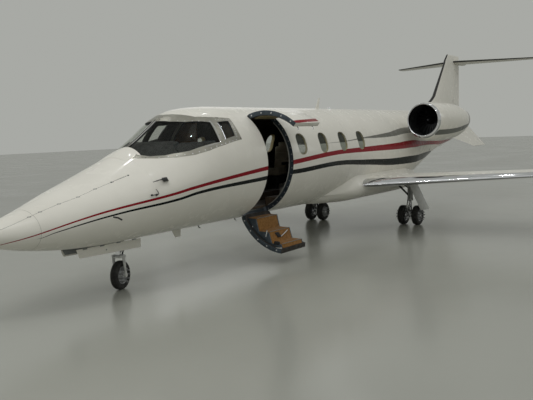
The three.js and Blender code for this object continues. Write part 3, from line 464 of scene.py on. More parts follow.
def skinPaint(name, stripes=('red', 'charcoal', 'grey'), attribute=None, joints=True):
    material, shader = newMaterial(name, 0.0, Coat_Weight=0.17, Coat_Roughness=0.03, Specular_IOR_Level=0.06)
    where = place(material, attribute)
    x, y, z = node(material, 'ShaderNodeSeparateXYZ', {0: where}).outputs
    links = material.node_tree.links
    broad = noise(material, where, 1.6, 4.0)
    colour = blendColours(material, spread(material, broad, 0, 1), *paintValues['cream'])
    if stripes:
        share = spread(material, x, 0, 1, noseX, noseX + paintValues['hullEnd'] / 1000)
        for tone, rows in (stripeRows[k] for k in stripes):
            ends = [(0, rows[0][1], 0), (rows[0][0] - 1, rows[0][1], 0), *rows,
                (paintValues['hullEnd'], rows[-1][1], 0)]
            tables = [[(r[0] / paintValues['hullEnd'], r[k] / 1000 / full) for r in ends] for k,
                full in ((1, paintValues['tall']), (2, paintValues['wide']))]
            middle, half = (tableCurve(material, share, t) for t in tables)
            apart = calc(material, 'ABSOLUTE', calc(material, 'SUBTRACT', z,
                calc(material, 'MULTIPLY', middle, paintValues['tall'])))
            inside = calc(material, 'LESS_THAN', apart, calc(material, 'MULTIPLY', half, paintValues['wide']))
            colour = blendColours(material, inside, colour, tone)
    height = noise(material, where, 55, 1.0)
    if joints:
        nearest = None
        for station in paintValues['joints']:
            apart = calc(material, 'ABSOLUTE', calc(material, 'SUBTRACT', x, station / 1000 + noseX))
            nearest = apart if nearest is None else calc(material, 'MINIMUM', nearest, apart)
        joint = calc(material, 'LESS_THAN', nearest, paintValues['jointHalf'])
        colour = blendColours(material, calc(material, 'MULTIPLY', joint, 0.6), colour, (0.12, 0.12, 0.11))
        height = calc(material, 'SUBTRACT', height, calc(material, 'MULTIPLY', joint, 6.0))
    links.new(colour, shader.inputs['Base Color'])
    links.new(spread(material, noise(material, where, 7, 3.0), 0.3, 0.2), shader.inputs['Roughness'])
    bump = node(material, 'ShaderNodeBump', {'Strength': 0.05, 'Distance': 0.002, 'Height': height})
    links.new(bump.outputs[0], shader.inputs['Normal'])
    return material


def paneGlass(name, tint, through):  # dark tinted glass that shows what is behind it
    material, shader = newMaterial(name, 0.0, Coat_Weight=0.5, Coat_Roughness=0.01)
    where = place(material)
    smear = noise(material, where, 5, 4.0)
    links = material.node_tree.links
    links.new(blendColours(material, spread(material, smear, 0, 1), (0.016, 0.019, 0.018),
        (0.028, 0.031, 0.028)), shader.inputs['Base Color'])
    links.new(spread(material, smear, 0.02, 0.05), shader.inputs['Roughness'])
    clear = node(material, 'ShaderNodeBsdfTransparent', {'Color': (*tint, 1)})
    mix = node(material, 'ShaderNodeMixShader', {0: through, 1: shader.outputs[0], 2: clear.outputs[0]})
    links.new(mix.outputs[0], material.node_tree.nodes['Material Output'].inputs['Surface'])
    return material


placeCamera()
placeLights()
use = {name: buildFinish(name) for name in finishes}
use['hull paint'] = skinPaint('hull paint')
use['door paint'] = skinPaint('door paint', attribute='shut_place')
use['plain paint'] = skinPaint('plain paint', stripes=(), joints=False)
use['nacelle paint'] = skinPaint('nacelle paint', stripes=('nacelle grey',), joints=False)
use['windscreen'] = paneGlass('windscreen', (0.93, 0.94, 0.92), 0.9)
use['cabin glass'] = paneGlass('cabin glass', (0.9, 0.92, 0.9), 0.86)
print('materials ready')


# Floor
deselectAll()
bpy.ops.mesh.primitive_plane_add(size=240)
floor = bpy.context.object
floor.name = 'studio_floor'
floorFinish, floorShader = newMaterial('studio floor')
floorShade = noise(floorFinish, place(floorFinish), 0.35, 5.0)
floorLinks = floorFinish.node_tree.links
floorLinks.new(blendColours(floorFinish, floorShade, (0.36, 0.365, 0.33), (0.42, 0.425, 0.385)),
    floorShader.inputs['Base Color'])
floorLinks.new(spread(floorFinish, floorShade, 0.16, 0.24), floorShader.inputs['Roughness'])
dress(floor, floorFinish)


# Fuselage: station, crown, keel, half width, height of the widest line, then how peaked the top is
hullRows = [
    (0, 1098, 1062, 22, 1080, 1), (20, 1132, 1028, 55, 1078, 1), (70, 1166, 990, 100, 1076, 1),
    (160, 1210, 950, 165, 1078, 1), (320, 1275, 902, 262, 1082, 1), (610, 1366, 838, 400, 1096, 1),
    (1100, 1551, 770, 575, 1158, 1.02), (1500, 1695, 742, 685, 1228, 1.06), (1870, 1835, 733, 775, 1305, 1.12),
    (2230, 1980, 733, 842, 1390, 1.18), (2500, 2108, 733, 880, 1457, 1.25), (2920, 2368, 733, 925, 1541, 1.25),
    (3170, 2528, 733, 945, 1595, 1.18), (3540, 2648, 733, 968, 1661, 1.04), (3900, 2685, 733, 981, 1700, 1),
    (4300, 2701, 733, 984, 1717, 1), (10600, 2701, 733, 984, 1717, 1), (11100, 2701, 790, 968, 1730, 1),
    (11600, 2701, 905, 912, 1776, 1), (12200, 2700, 1110, 845, 1843, 1), (12900, 2700, 1335, 765, 1920, 1),
    (13700, 2700, 1525, 672, 2003, 1), (14500, 2705, 1652, 592, 2078, 1), (15300, 2712, 1762, 505, 2152, 1),
    (16100, 2712, 1895, 395, 2238, 1), (16800, 2700, 2035, 285, 2315, 1), (17250, 2660, 2130, 205, 2360, 1),
    (17480, 2600, 2225, 135, 2390, 1), (17560, 2530, 2300, 85, 2410, 1),
]
hullValues = {
    'round': 112, 'step': 66, 'radius': 984, 'axis': 1717,
    'ends': {'radome': 610, 'nose': 2230, 'cockpit': 4300, 'entry': 5620, 'cabin': 10600, 'aft': 14500},
    'walls': {'nose': 40, 'cockpit': 28, 'cabin': 80, 'aft': 45},
    'well': {'fore': 1250, 'aft': 2490, 'half': 165, 'top': 1120},
}


def readTable(rows, value, column):  # smooth reading between rows, without overshoot
    def slope(i):
        if i in (0, len(rows) - 1):
            return 0.0
        back = (rows[i][column] - rows[i - 1][column]) / (rows[i][0] - rows[i - 1][0])
        ahead = (rows[i + 1][column] - rows[i][column]) / (rows[i + 1][0] - rows[i][0])
        return 0.0 if back * ahead <= 0 else 2 * back * ahead / (back + ahead)
    i = max([k for k in range(len(rows) - 1) if rows[k][0] <= value] or [0])
    low, high = rows[i], rows[i + 1]
    step = high[0] - low[0]
    t = min(max((value - low[0]) / step, 0), 1)
    ease = t * t * (3 - 2 * t)
    return (low[column] * (1 - ease) + high[column] * ease
        + slope(i) * step * t * (1 - t) ** 2 - slope(i + 1) * step * t * t * (1 - t))


def readRow(rows, value):
    return [readTable(rows, value, k) for k in range(1, len(rows[0]))]


def hullPoint(station, angle, inset=0.0):
    crown, keel, half, widest, peak = readRow(hullRows, station)
    across, lift = math.cos(angle), math.sin(angle)
    bend, rise = (peak, crown - widest - inset) if lift > 0 else (1, keel - widest + inset)
    return at(station, math.copysign(abs(across) ** bend, across) * (half - inset),
        widest + abs(lift) ** bend * rise)


def hullAt(station, z, side=-1, lift=0.0):  # the point of the skin at a station and height
    crown, keel, half, widest, peak = readRow(hullRows, station)
    bend, rise = (peak, crown - widest) if z > widest else (1, keel - widest)
    across = max(0.0, 1 - ((z - widest) / rise) ** (2 / bend)) ** (bend / 2) * half
    return at(station, side * (across + lift), z)


def spaced(start, end, step):
    count = max(1, round((end - start) / step))
    return [start + (end - start) * i / count for i in range(count + 1)]


def hullSkin(name, start, end, inset=0.0, wall=0.0, step=hullValues['step'], looks=()):
    count = hullValues['round']
    rings = [[hullPoint(s, a, inset) for a in turns(count)] for s in spaced(start, end, step)]
    piece = dress(loft(name, rings, fill=False), *looks)
    if wall:
        modify(piece, 'SOLIDIFY', thickness=wall / 1000, offset=-1, material_offset=1)
    return piece


def paneOutline(corners, facing, side, margin, reach=0.33, post=28):  # a prism that cuts through the skin
    out = Vector((facing[0], facing[1] * -side, facing[2])).normalized()
    points = [at(s, y * -side, z) for s, y, z in corners]
    middle = sum(points, Vector()) / len(points)
    grown = []
    for point in points:
        away = point - middle
        away -= out * away.dot(out)
        grown.append(point + away.normalized() * margin / 1000)
    rings = [[p + out * (middle.dot(out) - p.dot(out) + shift) for p in grown] for shift in (-reach, reach)]
    prism = loft('pane_cutter', rings)
    inner = side * (post - margin) / 1000
    halfSpace = block('half', at(1500, 0, 800).to_tuple()[:1] + (min(inner, side * 2), 0.8),
        at(4600, 0, 3600).to_tuple()[:1] + (max(inner, side * 2), 3.6))
    return carve(prism, halfSpace, 'INTERSECT')


panes = {'windscreen': ([(2440, 120, 2075), (3010, 120, 2466), (3128, -252, 2445), (3283, -432, 2431),
    (3645, -631, 2417), (3586, -861, 2103), (3026, -740, 1994), (2654, -585, 1946), (2476, -458, 1942),
    (2373, -306, 1972), (2452, -46, 2080)], (-0.42, -0.5, 0.76)),
    'side_window': ([(3773, -655, 2419), (4053, -664, 2434), (3975, -853, 2191), (3716, -860, 2143)],
    (-0.05, -0.8, 0.6))}
surround = ([(2440, 150, 2080), (3184, 150, 2540), (3494, -452, 2508), (3800, -560, 2500), (4145, -620, 2478),
    (4111, -888, 2133), (3653, -893, 2055), (3339, -864, 1987), (3074, -806, 1935), (2778, -694, 1911),
    (2533, -548, 1911), (2325, -374, 1924), (2254, -296, 1928), (2420, -120, 2050)], (-0.42, -0.5, 0.76))


def windowSlot(centre, side, margin=0.0):  # the rounded opening of one cabin window
    width, height, level = 310 + 2 * margin, 385 + 2 * margin, 2000
    radius = 0.42 * width
    x, z = width / 2 - radius, height / 2 - radius
    outline = []
    for k, (sx, sz) in enumerate(((1, 1), (-1, 1), (-1, -1), (1, -1))):
        for i in range(9):
            angle = (k + i / 8) * math.pi / 2
            outline.append(at(centre + sx * x + math.cos(angle) * radius, 600 * side,
                level + sz * z + math.sin(angle) * radius))
    return slab('slot', outline, (0, 0.5 * side, 0))


windowRows = {-1: [5830 + 772 * i for i in range(4)], 1: [5058] + [5830 + 772 * i for i in range(4)]}
unshaded = {-1: (), 1: (5058, 7374)}  # windows whose shades are up
shadeFold = 1.968  # height where the pale blind ends and the dark sheet of painted shade begins
doorValues = {
    'fore': 4690, 'aft': 5452, 'top': 55.6, 'split': -6.5, 'bottom': -69.4, 'gap': 8, 'corner': 62,
    'upperSwing': 56, 'lowerSwing': 88,
}


def sectorSlab(name, inner, outer, low, high, fore, aft, corners=(), bevel=0.0, arcs=14):  # a curved plate
    def arc(radius, start, end):
        angles = [math.radians(start + (end - start) * i / arcs) for i in range(arcs + 1)]
        return [at(fore, -math.cos(a) * radius, hullValues['axis'] + math.sin(a) * radius) for a in angles]
    outline = arc(outer, low, high) + arc(inner, high, low)
    piece = slab(name, outline, ((aft - fore) / 1000, 0, 0))
    if corners:
        count = len(outline)
        ends = {'low': (count - 1, 0), 'high': (arcs, arcs + 1)}
        openEdit(piece, 'EDGE')
        bpy.ops.mesh.select_all(action='DESELECT')
        closeEdit()
        wanted = [{i + shift for i in ends[c]} for c in corners for shift in (0, count)]
        for edge in piece.data.edges:
            edge.select = set(edge.vertices) in wanted
        bpy.ops.object.mode_set(mode='EDIT')
        bpy.ops.mesh.bevel(offset=bevel / 1000, segments=6, affect='EDGES')
        closeEdit()
    return piece


def edged(cutter, *looks):  # a cutter whose walls leave the second look on what they cut
    dress(cutter, *looks)
    for face in cutter.data.polygons:
        face.material_index = 1
    return cutter


def makeFuselage():
    ends, walls, well = (hullValues[k] for k in ('ends', 'walls', 'well'))
    # the skins' inner walls take the cabin's near-black painted shade
    paint = (use['hull paint'], use['cabin painted shade'], use['door edge'])
    bare = {'looks': paint}
    count = hullValues['round']
    tip = [[at(0.2, math.cos(a) * 10, 1080 + math.sin(a) * 8) for a in turns(count)]]
    rings = tip + [[hullPoint(s, a) for a in turns(count)]
        for s in [3, 9, 20, 40, 70, 110, *spaced(160, ends['radome'] - 0.6, 50)]]
    cone = loft('nose_cone_skin', rings)
    hand(dress(cone, *paint), 'airframe', 'radome_white', 'nose_cone')

    nose = hullSkin('nose_section_skin', ends['radome'] + 0.6, ends['nose'], 0, walls['nose'], **bare)
    wellBox = block('well', at(well['fore'], -well['half'], 600), at(well['aft'], well['half'], well['top']))
    carve(nose, wellBox, keep=True)
    hand(nose, 'airframe', 'paint_white', 'nose_section')
    liner = block('nose_wheel_well', at(well['fore'] - 8, -well['half'] - 8, 740),
        at(well['aft'] + 8, well['half'] + 8, 1128))
    carve(liner, block('room', at(well['fore'], -well['half'], 600),
        at(well['aft'], well['half'], well['top'])))
    keelShape = hullSkin('keel', 1100, 2600, 2)
    closeSeams(keelShape, True)
    carve(liner, keelShape, 'INTERSECT')
    wear(liner, 'primer grey', 'cabin_trim')

    deck = hullSkin('flight_deck_skin', ends['nose'] + 0.6, ends['cockpit'], 0, walls['cockpit'], 50, paint)
    carve(deck, wellBox)
    border = {side: hullSkin(f'surround_{name}', 2240, 4180, -3.5, 6, step=45) for name, side in sides.items()}
    for name, side in sides.items():
        dress(border[side], use['window frame'], use['chrome'])
        carve(border[side], paneOutline(*surround, side, 0, reach=0.7, post=0), 'INTERSECT')
        for kind, (corners, facing) in panes.items():
            cutter = edged(paneOutline(corners, facing, side, 0), *paint)
            carve(deck, cutter, keep=True)
            carve(border[side], cutter)
            glass = hullSkin(f'{kind}_{name}_glass', ends['nose'] + 5, ends['cockpit'], 6, 16, step=50)
            dress(glass, use['windscreen'], use['panel black'])
            carve(glass, edged(paneOutline(corners, facing, side, -0.5), *glass.data.materials), 'INTERSECT')
            hand(glass, 'airframe', 'clear_glass', f'{kind}_{name}')
        hand(border[side], 'airframe', 'bare_metal')
        border[side].name = f'windscreen_surround_{name}'
    hand(deck, 'airframe', 'paint_white', 'flight_deck_shell')

    v = doorValues
    lip = math.degrees(v['gap'] / hullValues['radius'])
    doorway = sectorSlab('doorway', 820, 1060, v['bottom'] - lip, v['top'] + lip, v['fore'] - v['gap'],
        v['aft'] + v['gap'], ('low', 'high'), v['corner'] + 6, 12)
    dress(doorway, *paint)
    for face in doorway.data.polygons:
        face.material_index = 2
    entry = hullSkin('entry_section_skin', ends['cockpit'] + 0.6, ends['entry'], 0, walls['cabin'], 60, paint)
    carve(entry, doorway)
    carve(entry, windowSlot(windowRows[1][0], 1))
    hand(entry, 'airframe', 'paint_white', 'entry_section')

    cabin = hullSkin('cabin_section_skin', ends['entry'] + 0.6, ends['cabin'], 0, walls['cabin'], **bare)
    for side, stations in windowRows.items():
        for station in stations[side > 0:]:
            carve(cabin, windowSlot(station, side))
    hand(cabin, 'airframe', 'paint_white', 'cabin_section')
    aft = hullSkin('aft_fuselage_skin', ends['cabin'] + 0.6, ends['aft'], 0, walls['aft'], **bare)
    hand(aft, 'airframe', 'paint_white', 'aft_fuselage')
    rings = [[hullPoint(s, a) for a in turns(count)]
        for s in [*spaced(ends['aft'] + 0.6, 17400, 60), 17440, 17480, 17510, 17535, 17552, 17560]]
    cone = loft('tail_cone_skin', rings)
    hand(dress(cone, *paint), 'airframe', 'paint_white', 'tail_cone')


def makeCabinWindows():
    for name, side in sides.items():
        start, end = windowRows[side][0] - 260, windowRows[side][-1] + 260
        glass = hullSkin(f'cabin_panes_{name}', start, end, 13, 5, step=90)
        shade = hullSkin(f'window_blinds_and_painted_shade_{name}', start, end, 36, 3, step=45)
        reveal = hullSkin(f'window_reveals_{name}', start, end, 18, 58, step=90)
        slots = join('slots', *[windowSlot(s, side, -1) for s in windowRows[side]])
        carve(glass, slots, 'INTERSECT')
        cover = join('cover', *[windowSlot(s, side, -6) for s in windowRows[side] if s not in unshaded[side]])
        carve(shade, cover, 'INTERSECT')
        # faces above the fold take the dark sheet, painted shade of the cabin behind the glass; those below are
        # the pale blind
        for face in shade.data.polygons:
            face.material_index = 1 if face.center.z > shadeFold else 0
        outer = join('outer', *[windowSlot(s, side, -1.5) for s in windowRows[side]])
        carve(reveal, outer, 'INTERSECT')
        inner = join('inner', *[windowSlot(s, side, -16) for s in windowRows[side]])
        carve(reveal, inner)
        wear(glass, 'cabin glass', 'clear_glass')
        hand(dress(shade, use['window shade'], use['upper sheet painted shade']), 'airframe', 'cabin_trim')
        wear(reveal, 'reveal tan', 'cabin_trim')


makeFuselage()
print('fuselage ready')
makeCabinWindows()
print('cabin windows ready')


# Belly fairing: station, half width, underside height, height of its upper edge
fairingRows = [
    (6700, 200, 760, 1010), (7300, 700, 722, 1060), (8100, 990, 695, 1180), (10400, 990, 695, 1180),
    (11200, 860, 740, 1130), (11800, 560, 930, 1200), (12300, 200, 1150, 1400),
]


def makeFairing():
    rings = []
    for station in spaced(6700, 12300, 100):
        half, low, high = readRow(fairingRows, station)
        corners = [(0.87, high + 110), (1.0, high - 140), (0.97, low + 190), (0.86, low + 95), (0.55, low + 12),
            (0, low)]
        line = []
        for (u0, z0), (u1, z1) in zip(corners, corners[1:]):
            line += [(u0 + (u1 - u0) * k / 5, z0 + (z1 - z0) * k / 5) for k in range(5)]
        line.append(corners[-1])
        for _ in range(3):  # eases the corners
            line = [line[0], *[((a[0] + 2 * b[0] + c[0]) / 4, (a[1] + 2 * b[1] + c[1]) / 4) for a, b,
                c in zip(line, line[1:], line[2:])], line[-1]]
        rings.append([at(station, -u * half, z) for u, z in line] + [at(station, u * half, z) for u,
            z in line[-2::-1]])
    piece = loft('belly_fairing_skin', rings)
    wear(piece, 'plain paint', 'paint_white', 'airframe', 'belly_fairing', angle=50)


# Wing sections: share of the chord, height over and depth under the chord line as shares of the thickness
sectionRows = [(0, 0, 0), (0.015, 0.2, 0.13), (0.08, 0.42, 0.25), (0.22, 0.58, 0.35), (0.42, 0.63, 0.37),
    (0.64, 0.48, 0.27), (0.84, 0.24, 0.13), (1, 0.02, 0.02)]
wingValues = {
    'rootLead': 7830, 'sweep': 0.293, 'rootChord': 2740, 'tipChord': 1120, 'rise': 0.0437, 'rootLevel': 1016,
    'flap': (1130, 4180, 0.79), 'aileron': (4230, 6020, 0.78), 'spoiler': (2350, 3900, 0.58, 0.7), 'run': 9,
    'fence': 4230, 'span': 6400, 'tip': 6300,
}
# Winglet: way along it, y, height over the wing's tip line, leading edge, chord, cant
wingletRows = [(-200, 6100, 0, 9618, 1196, 4), (0, 6300, 0, 9676, 1145, 12), (142, 6430, 55, 9760, 1060, 45),
    (277, 6500, 170, 9890, 920, 72), (940, 6662, 800, 10560, 430, 76)]
shares = [0.0, 0.004, 0.015, 0.035, 0.065, 0.11, 0.17, 0.25, 0.34, 0.44, 0.55, 0.66, 0.77, 0.88, 1.0]


def sectionHeight(share, column):
    rootRows = [(math.sqrt(row[0]), *row[1:]) for row in sectionRows]
    return readTable(rootRows, math.sqrt(share), column) if share > 0.02 else \
        sectionRows[2][column] * math.sqrt(share / 0.08) * 0.98


def sectionRing(lead, chord, thickness, up, symmetric=False):
    def put(share, sign):
        over, under = sectionHeight(share, 1), sectionHeight(share, 2)
        height = (over + under) / 2 if symmetric else (over if sign > 0 else under)
        return lead + Vector((share * chord / 1000, 0, 0)) + up * (sign * height * thickness / 1000)
    return [lead.copy()] + [put(s, 1) for s in shares[1:]] + [put(s, -1) for s in reversed(shares[1:])]


def wingLead(y):
    return wingValues['rootLead'] + wingValues['sweep'] * y


def wingChord(y):
    return wingValues['rootChord'] - (wingValues['rootChord'] - wingValues['tipChord']) / wingValues['span'] * y


def wingLevel(y):
    return wingValues['rootLevel'] + wingValues['rise'] * y


def wingThickness(y):
    return wingChord(y) * (0.104 - y * 4e-6)


def hingedCut(blank, name, start, end, radii, up):  # the moving surface and what stays, split at a round nose
    along = end - start
    span = along.length
    hinge = along.normalized()
    aft = hinge.cross(up).normalized()
    if aft.x < 0:
        aft.negate()

    def cutter(fore, gap):
        corners = [(-gap, fore), (span + gap, fore), (span + gap, 1.5), (-gap, 1.5)]
        return loft('cutter', [[start + hinge * s + aft * a + up * lift for s, a in corners]
            for lift in (-0.6, 0.6)])
    surface = twin(blank, name)
    carve(surface, cutter(0, 0), 'INTERSECT')
    nose = tube([start + hinge * 0.002, end - hinge * 0.002], list(radii), 20)
    carve(surface, nose, 'UNION')
    run = wingValues['run'] / 1000
    carve(blank, cutter(-max(radii) - run, run))
    return surface


def makeWing():
    spans = [790, 900, 1100, 1400, 1900, 2500, 3200, 4000, 4800, 5500, 6000]
    up = Vector((0, 0, 1))
    rings = [sectionRing(at(wingLead(y), -y, wingLevel(y)), wingChord(y), wingThickness(y), up) for y in spans]
    for way in (0, 50, 100, 142, 185, 230, 277, 360, 520, 680, 820, 900, 935, 940):
        y, over, lead, chord, cant = readRow(wingletRows, way)
        angle = math.radians(cant)
        lean = Vector((0, math.sin(angle), math.cos(angle)))
        thick = chord * 0.085 * (1 if way < 930 else 0.5)
        rings.append(sectionRing(at(lead, -y, wingLevel(wingValues['tip']) + over), chord, thick, lean))
    wing = loft('wing_left_skin', rings, band=5)
    dress(wing, use['plain paint'], use['polished lip'])
    inner, outer, fore, aft = wingValues['spoiler']

    def outline(margin, lift):
        rows = [(inner - margin, fore, -margin), (outer + margin, fore, -margin), (outer + margin, aft, margin),
            (inner - margin, aft, margin)]
        return [at(wingLead(y) + wingChord(y) * share + shift, -y, wingLevel(y) + lift) for y, share,
            shift in rows]

    def overSkin(margin, depth):
        lowered = twin(wing, 'lowered')
        lowered.data.transform(Matrix.Translation((0, 0, -depth / 1000)))
        return carve(loft('cutter', [outline(margin, 0), outline(margin, 400)]), lowered)
    spoiler = twin(wing, 'spoiler_left_skin')
    carve(spoiler, overSkin(0, 24), 'INTERSECT')
    carve(wing, overSkin(wingValues['run'], 40))
    wearPair(spoiler, 'plain paint', 'spoiler_skin', 'paint_white', 'spoiler_SIDE', 'spoiler')
    for kind in ('flap', 'aileron'):
        inner, outer, share = wingValues[kind]
        start, end = (at(wingLead(y) + wingChord(y) * share, -y, wingLevel(y) + wingThickness(y) * 0.067)
            for y in (inner, outer))
        radii = [wingThickness(y) * 0.21 / 1000 for y in (inner, outer)]
        surface = hingedCut(wing, f'{kind}_left_skin', start, end, radii, up)
        handPair(surface, f'{kind}_skin', f'{kind}_SIDE', 'paint_white', kind)
    handPair(wing, 'wing_skin', 'airframe', 'paint_white', 'wing')


def makeWingParts():
    tracks = []
    for y in (1700, 2950, 4050):  # flap track fairings hang under the trailing edge, ahead of the flap
        hingeStation = wingLead(y) + wingChord(y) * 0.79
        base = wingLevel(y) - 34
        rows = [(-520, 4, 0), (-430, 24, 22), (-260, 36, 46), (-90, 34, 52), (-30, 22, 44)]
        rings = [[at(hingeStation + s, -y + math.cos(a) * half,
            base - drop * 0.4 + math.sin(a) * (drop * 0.8 + 8)) for a in turns(16)] for s, half, drop in rows]
        tracks.append(loft('track', rings))
    layPair('flap_track_fairings', tracks, 'plain paint', 'paint_white')
    wicks = []
    for y in (4500, 5150, 5800):
        root = at(wingLead(y) + wingChord(y) - 6, -y, wingLevel(y))
        wicks.append(tube([root, root + Vector((0.05, 0, 0)), root + Vector((0.13, 0, -0.004))],
            [0.0035, 0.0025, 0.0012], 6))
    layPair('static_wicks', wicks, 'panel black', 'dark_panel', 'aileron_SIDE')
    y = wingValues['fence']  # a small fence stands on the leading edge
    rows = [(0.0, 0), (0.02, 46), (0.07, 74), (0.14, 66), (0.24, 8)]
    points = [at(wingLead(y) + wingChord(y) * share, -y,
        wingLevel(y) + sectionHeight(share, 1) * wingThickness(y) + rise) for share, rise in rows]
    foot = [at(wingLead(y) + wingChord(y) * share, -y, wingLevel(y)) for share in (0.24, 0.0)]
    fence = slab('fence', points + foot, (0, 0.004, 0))
    wearPair(fence, 'polished lip', 'wing_fence', 'bare_metal')
    lamp = turned('lamp', [(-0.02, 0), (-0.02, 0.02), (0.02, 0.02), (0.034, 0.012), (0.038, 0)],
        at(9905, -6452, wingLevel(wingValues['tip']) + 70), (-1, -0.35, 0), 20)
    wearPair(lamp, 'clear lens', 'wing_tip_lamp', 'bare_metal')


makeFairing()
makeWing()
makeWingParts()
print('wings ready')


# Tail: fin rows are height, leading edge, trailing edge, thickness
finRows = [(2560, 13450, 16850, 120), (2740, 13800, 16860, 190), (2950, 14270, 16865, 205),
    (3130, 14620, 16870, 200), (4160, 15560, 16880, 125)]
tailValues = {
    'level': 4235, 'half': 2240, 'rootLead': 16180, 'rootChord': 1290, 'tipLead': 17250, 'tipChord': 628,
    'rudder': (3020, 3980, 0.7), 'elevator': (190, 2190, 0.7),
}
# The cap carries the fin on above the tailplane: height, leading edge, trailing edge, thickness
capRows = [(4160.3, 15562, 16882, 124), (4380, 15765, 16888, 108), (4425, 15815, 16872, 84),
    (4440, 15850, 16850, 40)]
# Bullet behind the cap: station, half width, lowest and highest point
bulletRows = [(16250, 24, 4190, 4275), (16700, 66, 4163, 4325), (17150, 58, 4172, 4312),
    (17500, 32, 4205, 4284), (17640, 8, 4234, 4254)]


def makeTail():
    across = Vector((0, 1, 0))
    rings = []
    for height in (2600, 2660, 2720, 2780, 2860, 2950, 3040, 3130, 3300, 3500, 3700, 3900, 4060, 4160):
        lead, trail, thick = readRow(finRows, height)
        if height >= 3130:
            lead = 14620 + (15560 - 14620) * (height - 3130) / 1030
        rings.append(sectionRing(at(lead, 0, height), trail - lead, thick, across, True))
    fin = loft('fin_skin', rings, band=3)
    dress(fin, use['plain paint'], use['dark steel'])
    low, high, share = tailValues['rudder']
    ends, radii = [], []
    for height in (low, high):
        i = max(k for k in range(4) if finRows[k][0] <= height)
        t = (height - finRows[i][0]) / (finRows[i + 1][0] - finRows[i][0])
        lead, trail, thick = (finRows[i][k] + t * (finRows[i + 1][k] - finRows[i][k]) for k in (1, 2, 3))
        ends.append(at(lead + (trail - lead) * share, 0, height))
        radii.append(thick * 0.36 / 1000)
    rudder = hingedCut(fin, 'rudder_skin', *ends, radii, across)
    hand(rudder, 'rudder', 'paint_white', 'rudder')
    hand(fin, 'airframe', 'paint_white', 'fin')

    v = tailValues
    up = Vector((0, 0, 1))

    def plan(y):  # leading edge and chord of the tailplane
        return [v[f'root{k}'] + (v[f'tip{k}'] - v[f'root{k}']) * y / v['half'] for k in ('Lead', 'Chord')]
    rings = []
    for y in (-2240, -2234, -2215, -1700, -1100, -500, 0, 500, 1100, 1700, 2215, 2234, 2240):
        lead, chord = plan(abs(y))
        rounding = {2240: 0.45, 2234: 0.8}.get(abs(y), 1)
        rings.append(sectionRing(at(lead, y, v['level']), chord, chord * 0.09 * rounding, up, True))
    stab = loft('stabiliser_skin', rings, band=3)
    dress(stab, use['plain paint'], use['dark steel'])
    inner, outer, share = v['elevator']
    for name, side in sides.items():
        ends, radii = [], []
        for y in (inner, outer):
            lead, chord = plan(y)
            ends.append(at(lead + chord * share, side * y, v['level']))
            radii.append(chord * 0.032 / 1000)
        elevator = hingedCut(stab, f'elevator_{name}_skin', *ends, radii, up)
        hand(elevator, f'elevator_{name}', 'paint_white', f'elevator_{name}')
    rings = []
    for station in spaced(16250, 17640, 60):
        half, low, high = readRow(bulletRows, station)
        rings.append([at(station, math.cos(a) * half, (low + high) / 2 + math.sin(a) * (high - low) / 2)
            for a in turns(28)])
    bullet = dress(loft('bullet', rings), use['plain paint'])
    rings = []
    for height in (4160.5, 4220, 4280, 4340, 4380, 4405, 4425, 4435, 4440):
        lead, trail, thick = readRow(capRows, height)
        rings.append(sectionRing(at(lead, 0, height), trail - lead, thick, across, True))
    cap = dress(loft('cap', rings, band=3), use['plain paint'], use['dark steel'])
    whole = join('stabiliser_skin', stab, bullet, cap)
    hand(whole, 'airframe', 'paint_white', 'stabiliser')

    lean = math.radians(49.5)
    out = Vector((0, -math.cos(lean), -math.sin(lean)))
    thickWay = Vector((0, -math.sin(lean), math.cos(lean)))
    rings = []
    for reach in (300, 450, 600, 750, 900, 1040, 1120, 1137, 1140):
        t = (reach - 260) / 880
        lead, trail, depth = (a + (b - a) * t for a, b in ((13230, 16050), (17150, 17200), (46, 18)))
        rings.append(sectionRing(at(lead, 0, 2468) + out * reach / 1000, trail - lead,
            depth * (0.4 if reach == 1140 else 1), thickWay, True))
    handPair(dress(loft('delta_fin_left_skin', rings, band=2), use['plain paint'], use['polished lip']),
        'delta_fin_skin', 'airframe', 'paint_white', 'delta_fin')

    beacon = turned('beacon', [(-0.01, 0), (-0.01, 0.05), (0.012, 0.05), (0.014, 0.036), (0.05, 0.03),
        (0.066, 0.018), (0.07, 0)], at(16330, 0, 4366), (0, 0, 1), 24)
    wear(beacon, 'red lens', 'bare_metal')
    wicks = []
    for y in (900, 1500, 2050):
        lead, chord = plan(y)
        root = at(min(lead + chord - 6, 17862), -y, v['level'])
        wicks.append(tube([root + Vector((-0.06, 0, 0.004)), root], [0.003, 0.0015], 6))
    layPair('elevator_wicks', wicks, 'panel black', 'dark_panel', 'elevator_SIDE')


makeTail()
print('tail ready')


# Engines: distance aft of the lip and radius, in millimetres
engineValues = {
    'lip': 10250, 'out': 1450, 'level': 2390, 'steps': 96, 'lipBand': 75, 'nozzle': 2230,
    'blades': 22, 'middle': 530, 'vanes': 24,
    'core': [(620, 0), (620, 180), (650, 230), (700, 268), (900, 282), (1300, 288), (1600, 280), (1900, 262),
             (2080, 242), (2250, 212), (2400, 158), (2500, 115), (2560, 88), (2600, 48), (2620, 0)],
}
# Nacelle skin: distance aft of the lip, then its radius upward, downward and sideways
nacelleRows = [
    (0, 372, 372, 372), (4, 379, 380, 379), (12, 386, 389, 388), (25, 392, 398, 395), (60, 398, 416, 408),
    (120, 404, 440, 425), (420, 412, 485, 462), (1000, 412, 505, 475), (1600, 392, 475, 448),
    (2100, 335, 400, 378), (2480, 276, 290, 282),
]
ductRows = [(0, 366), (6, 358), (20, 352), (50, 348), (200, 356), (420, 372), (700, 380), (1500, 372),
    (1800, 345), (2200, 300), (2480, 258)]


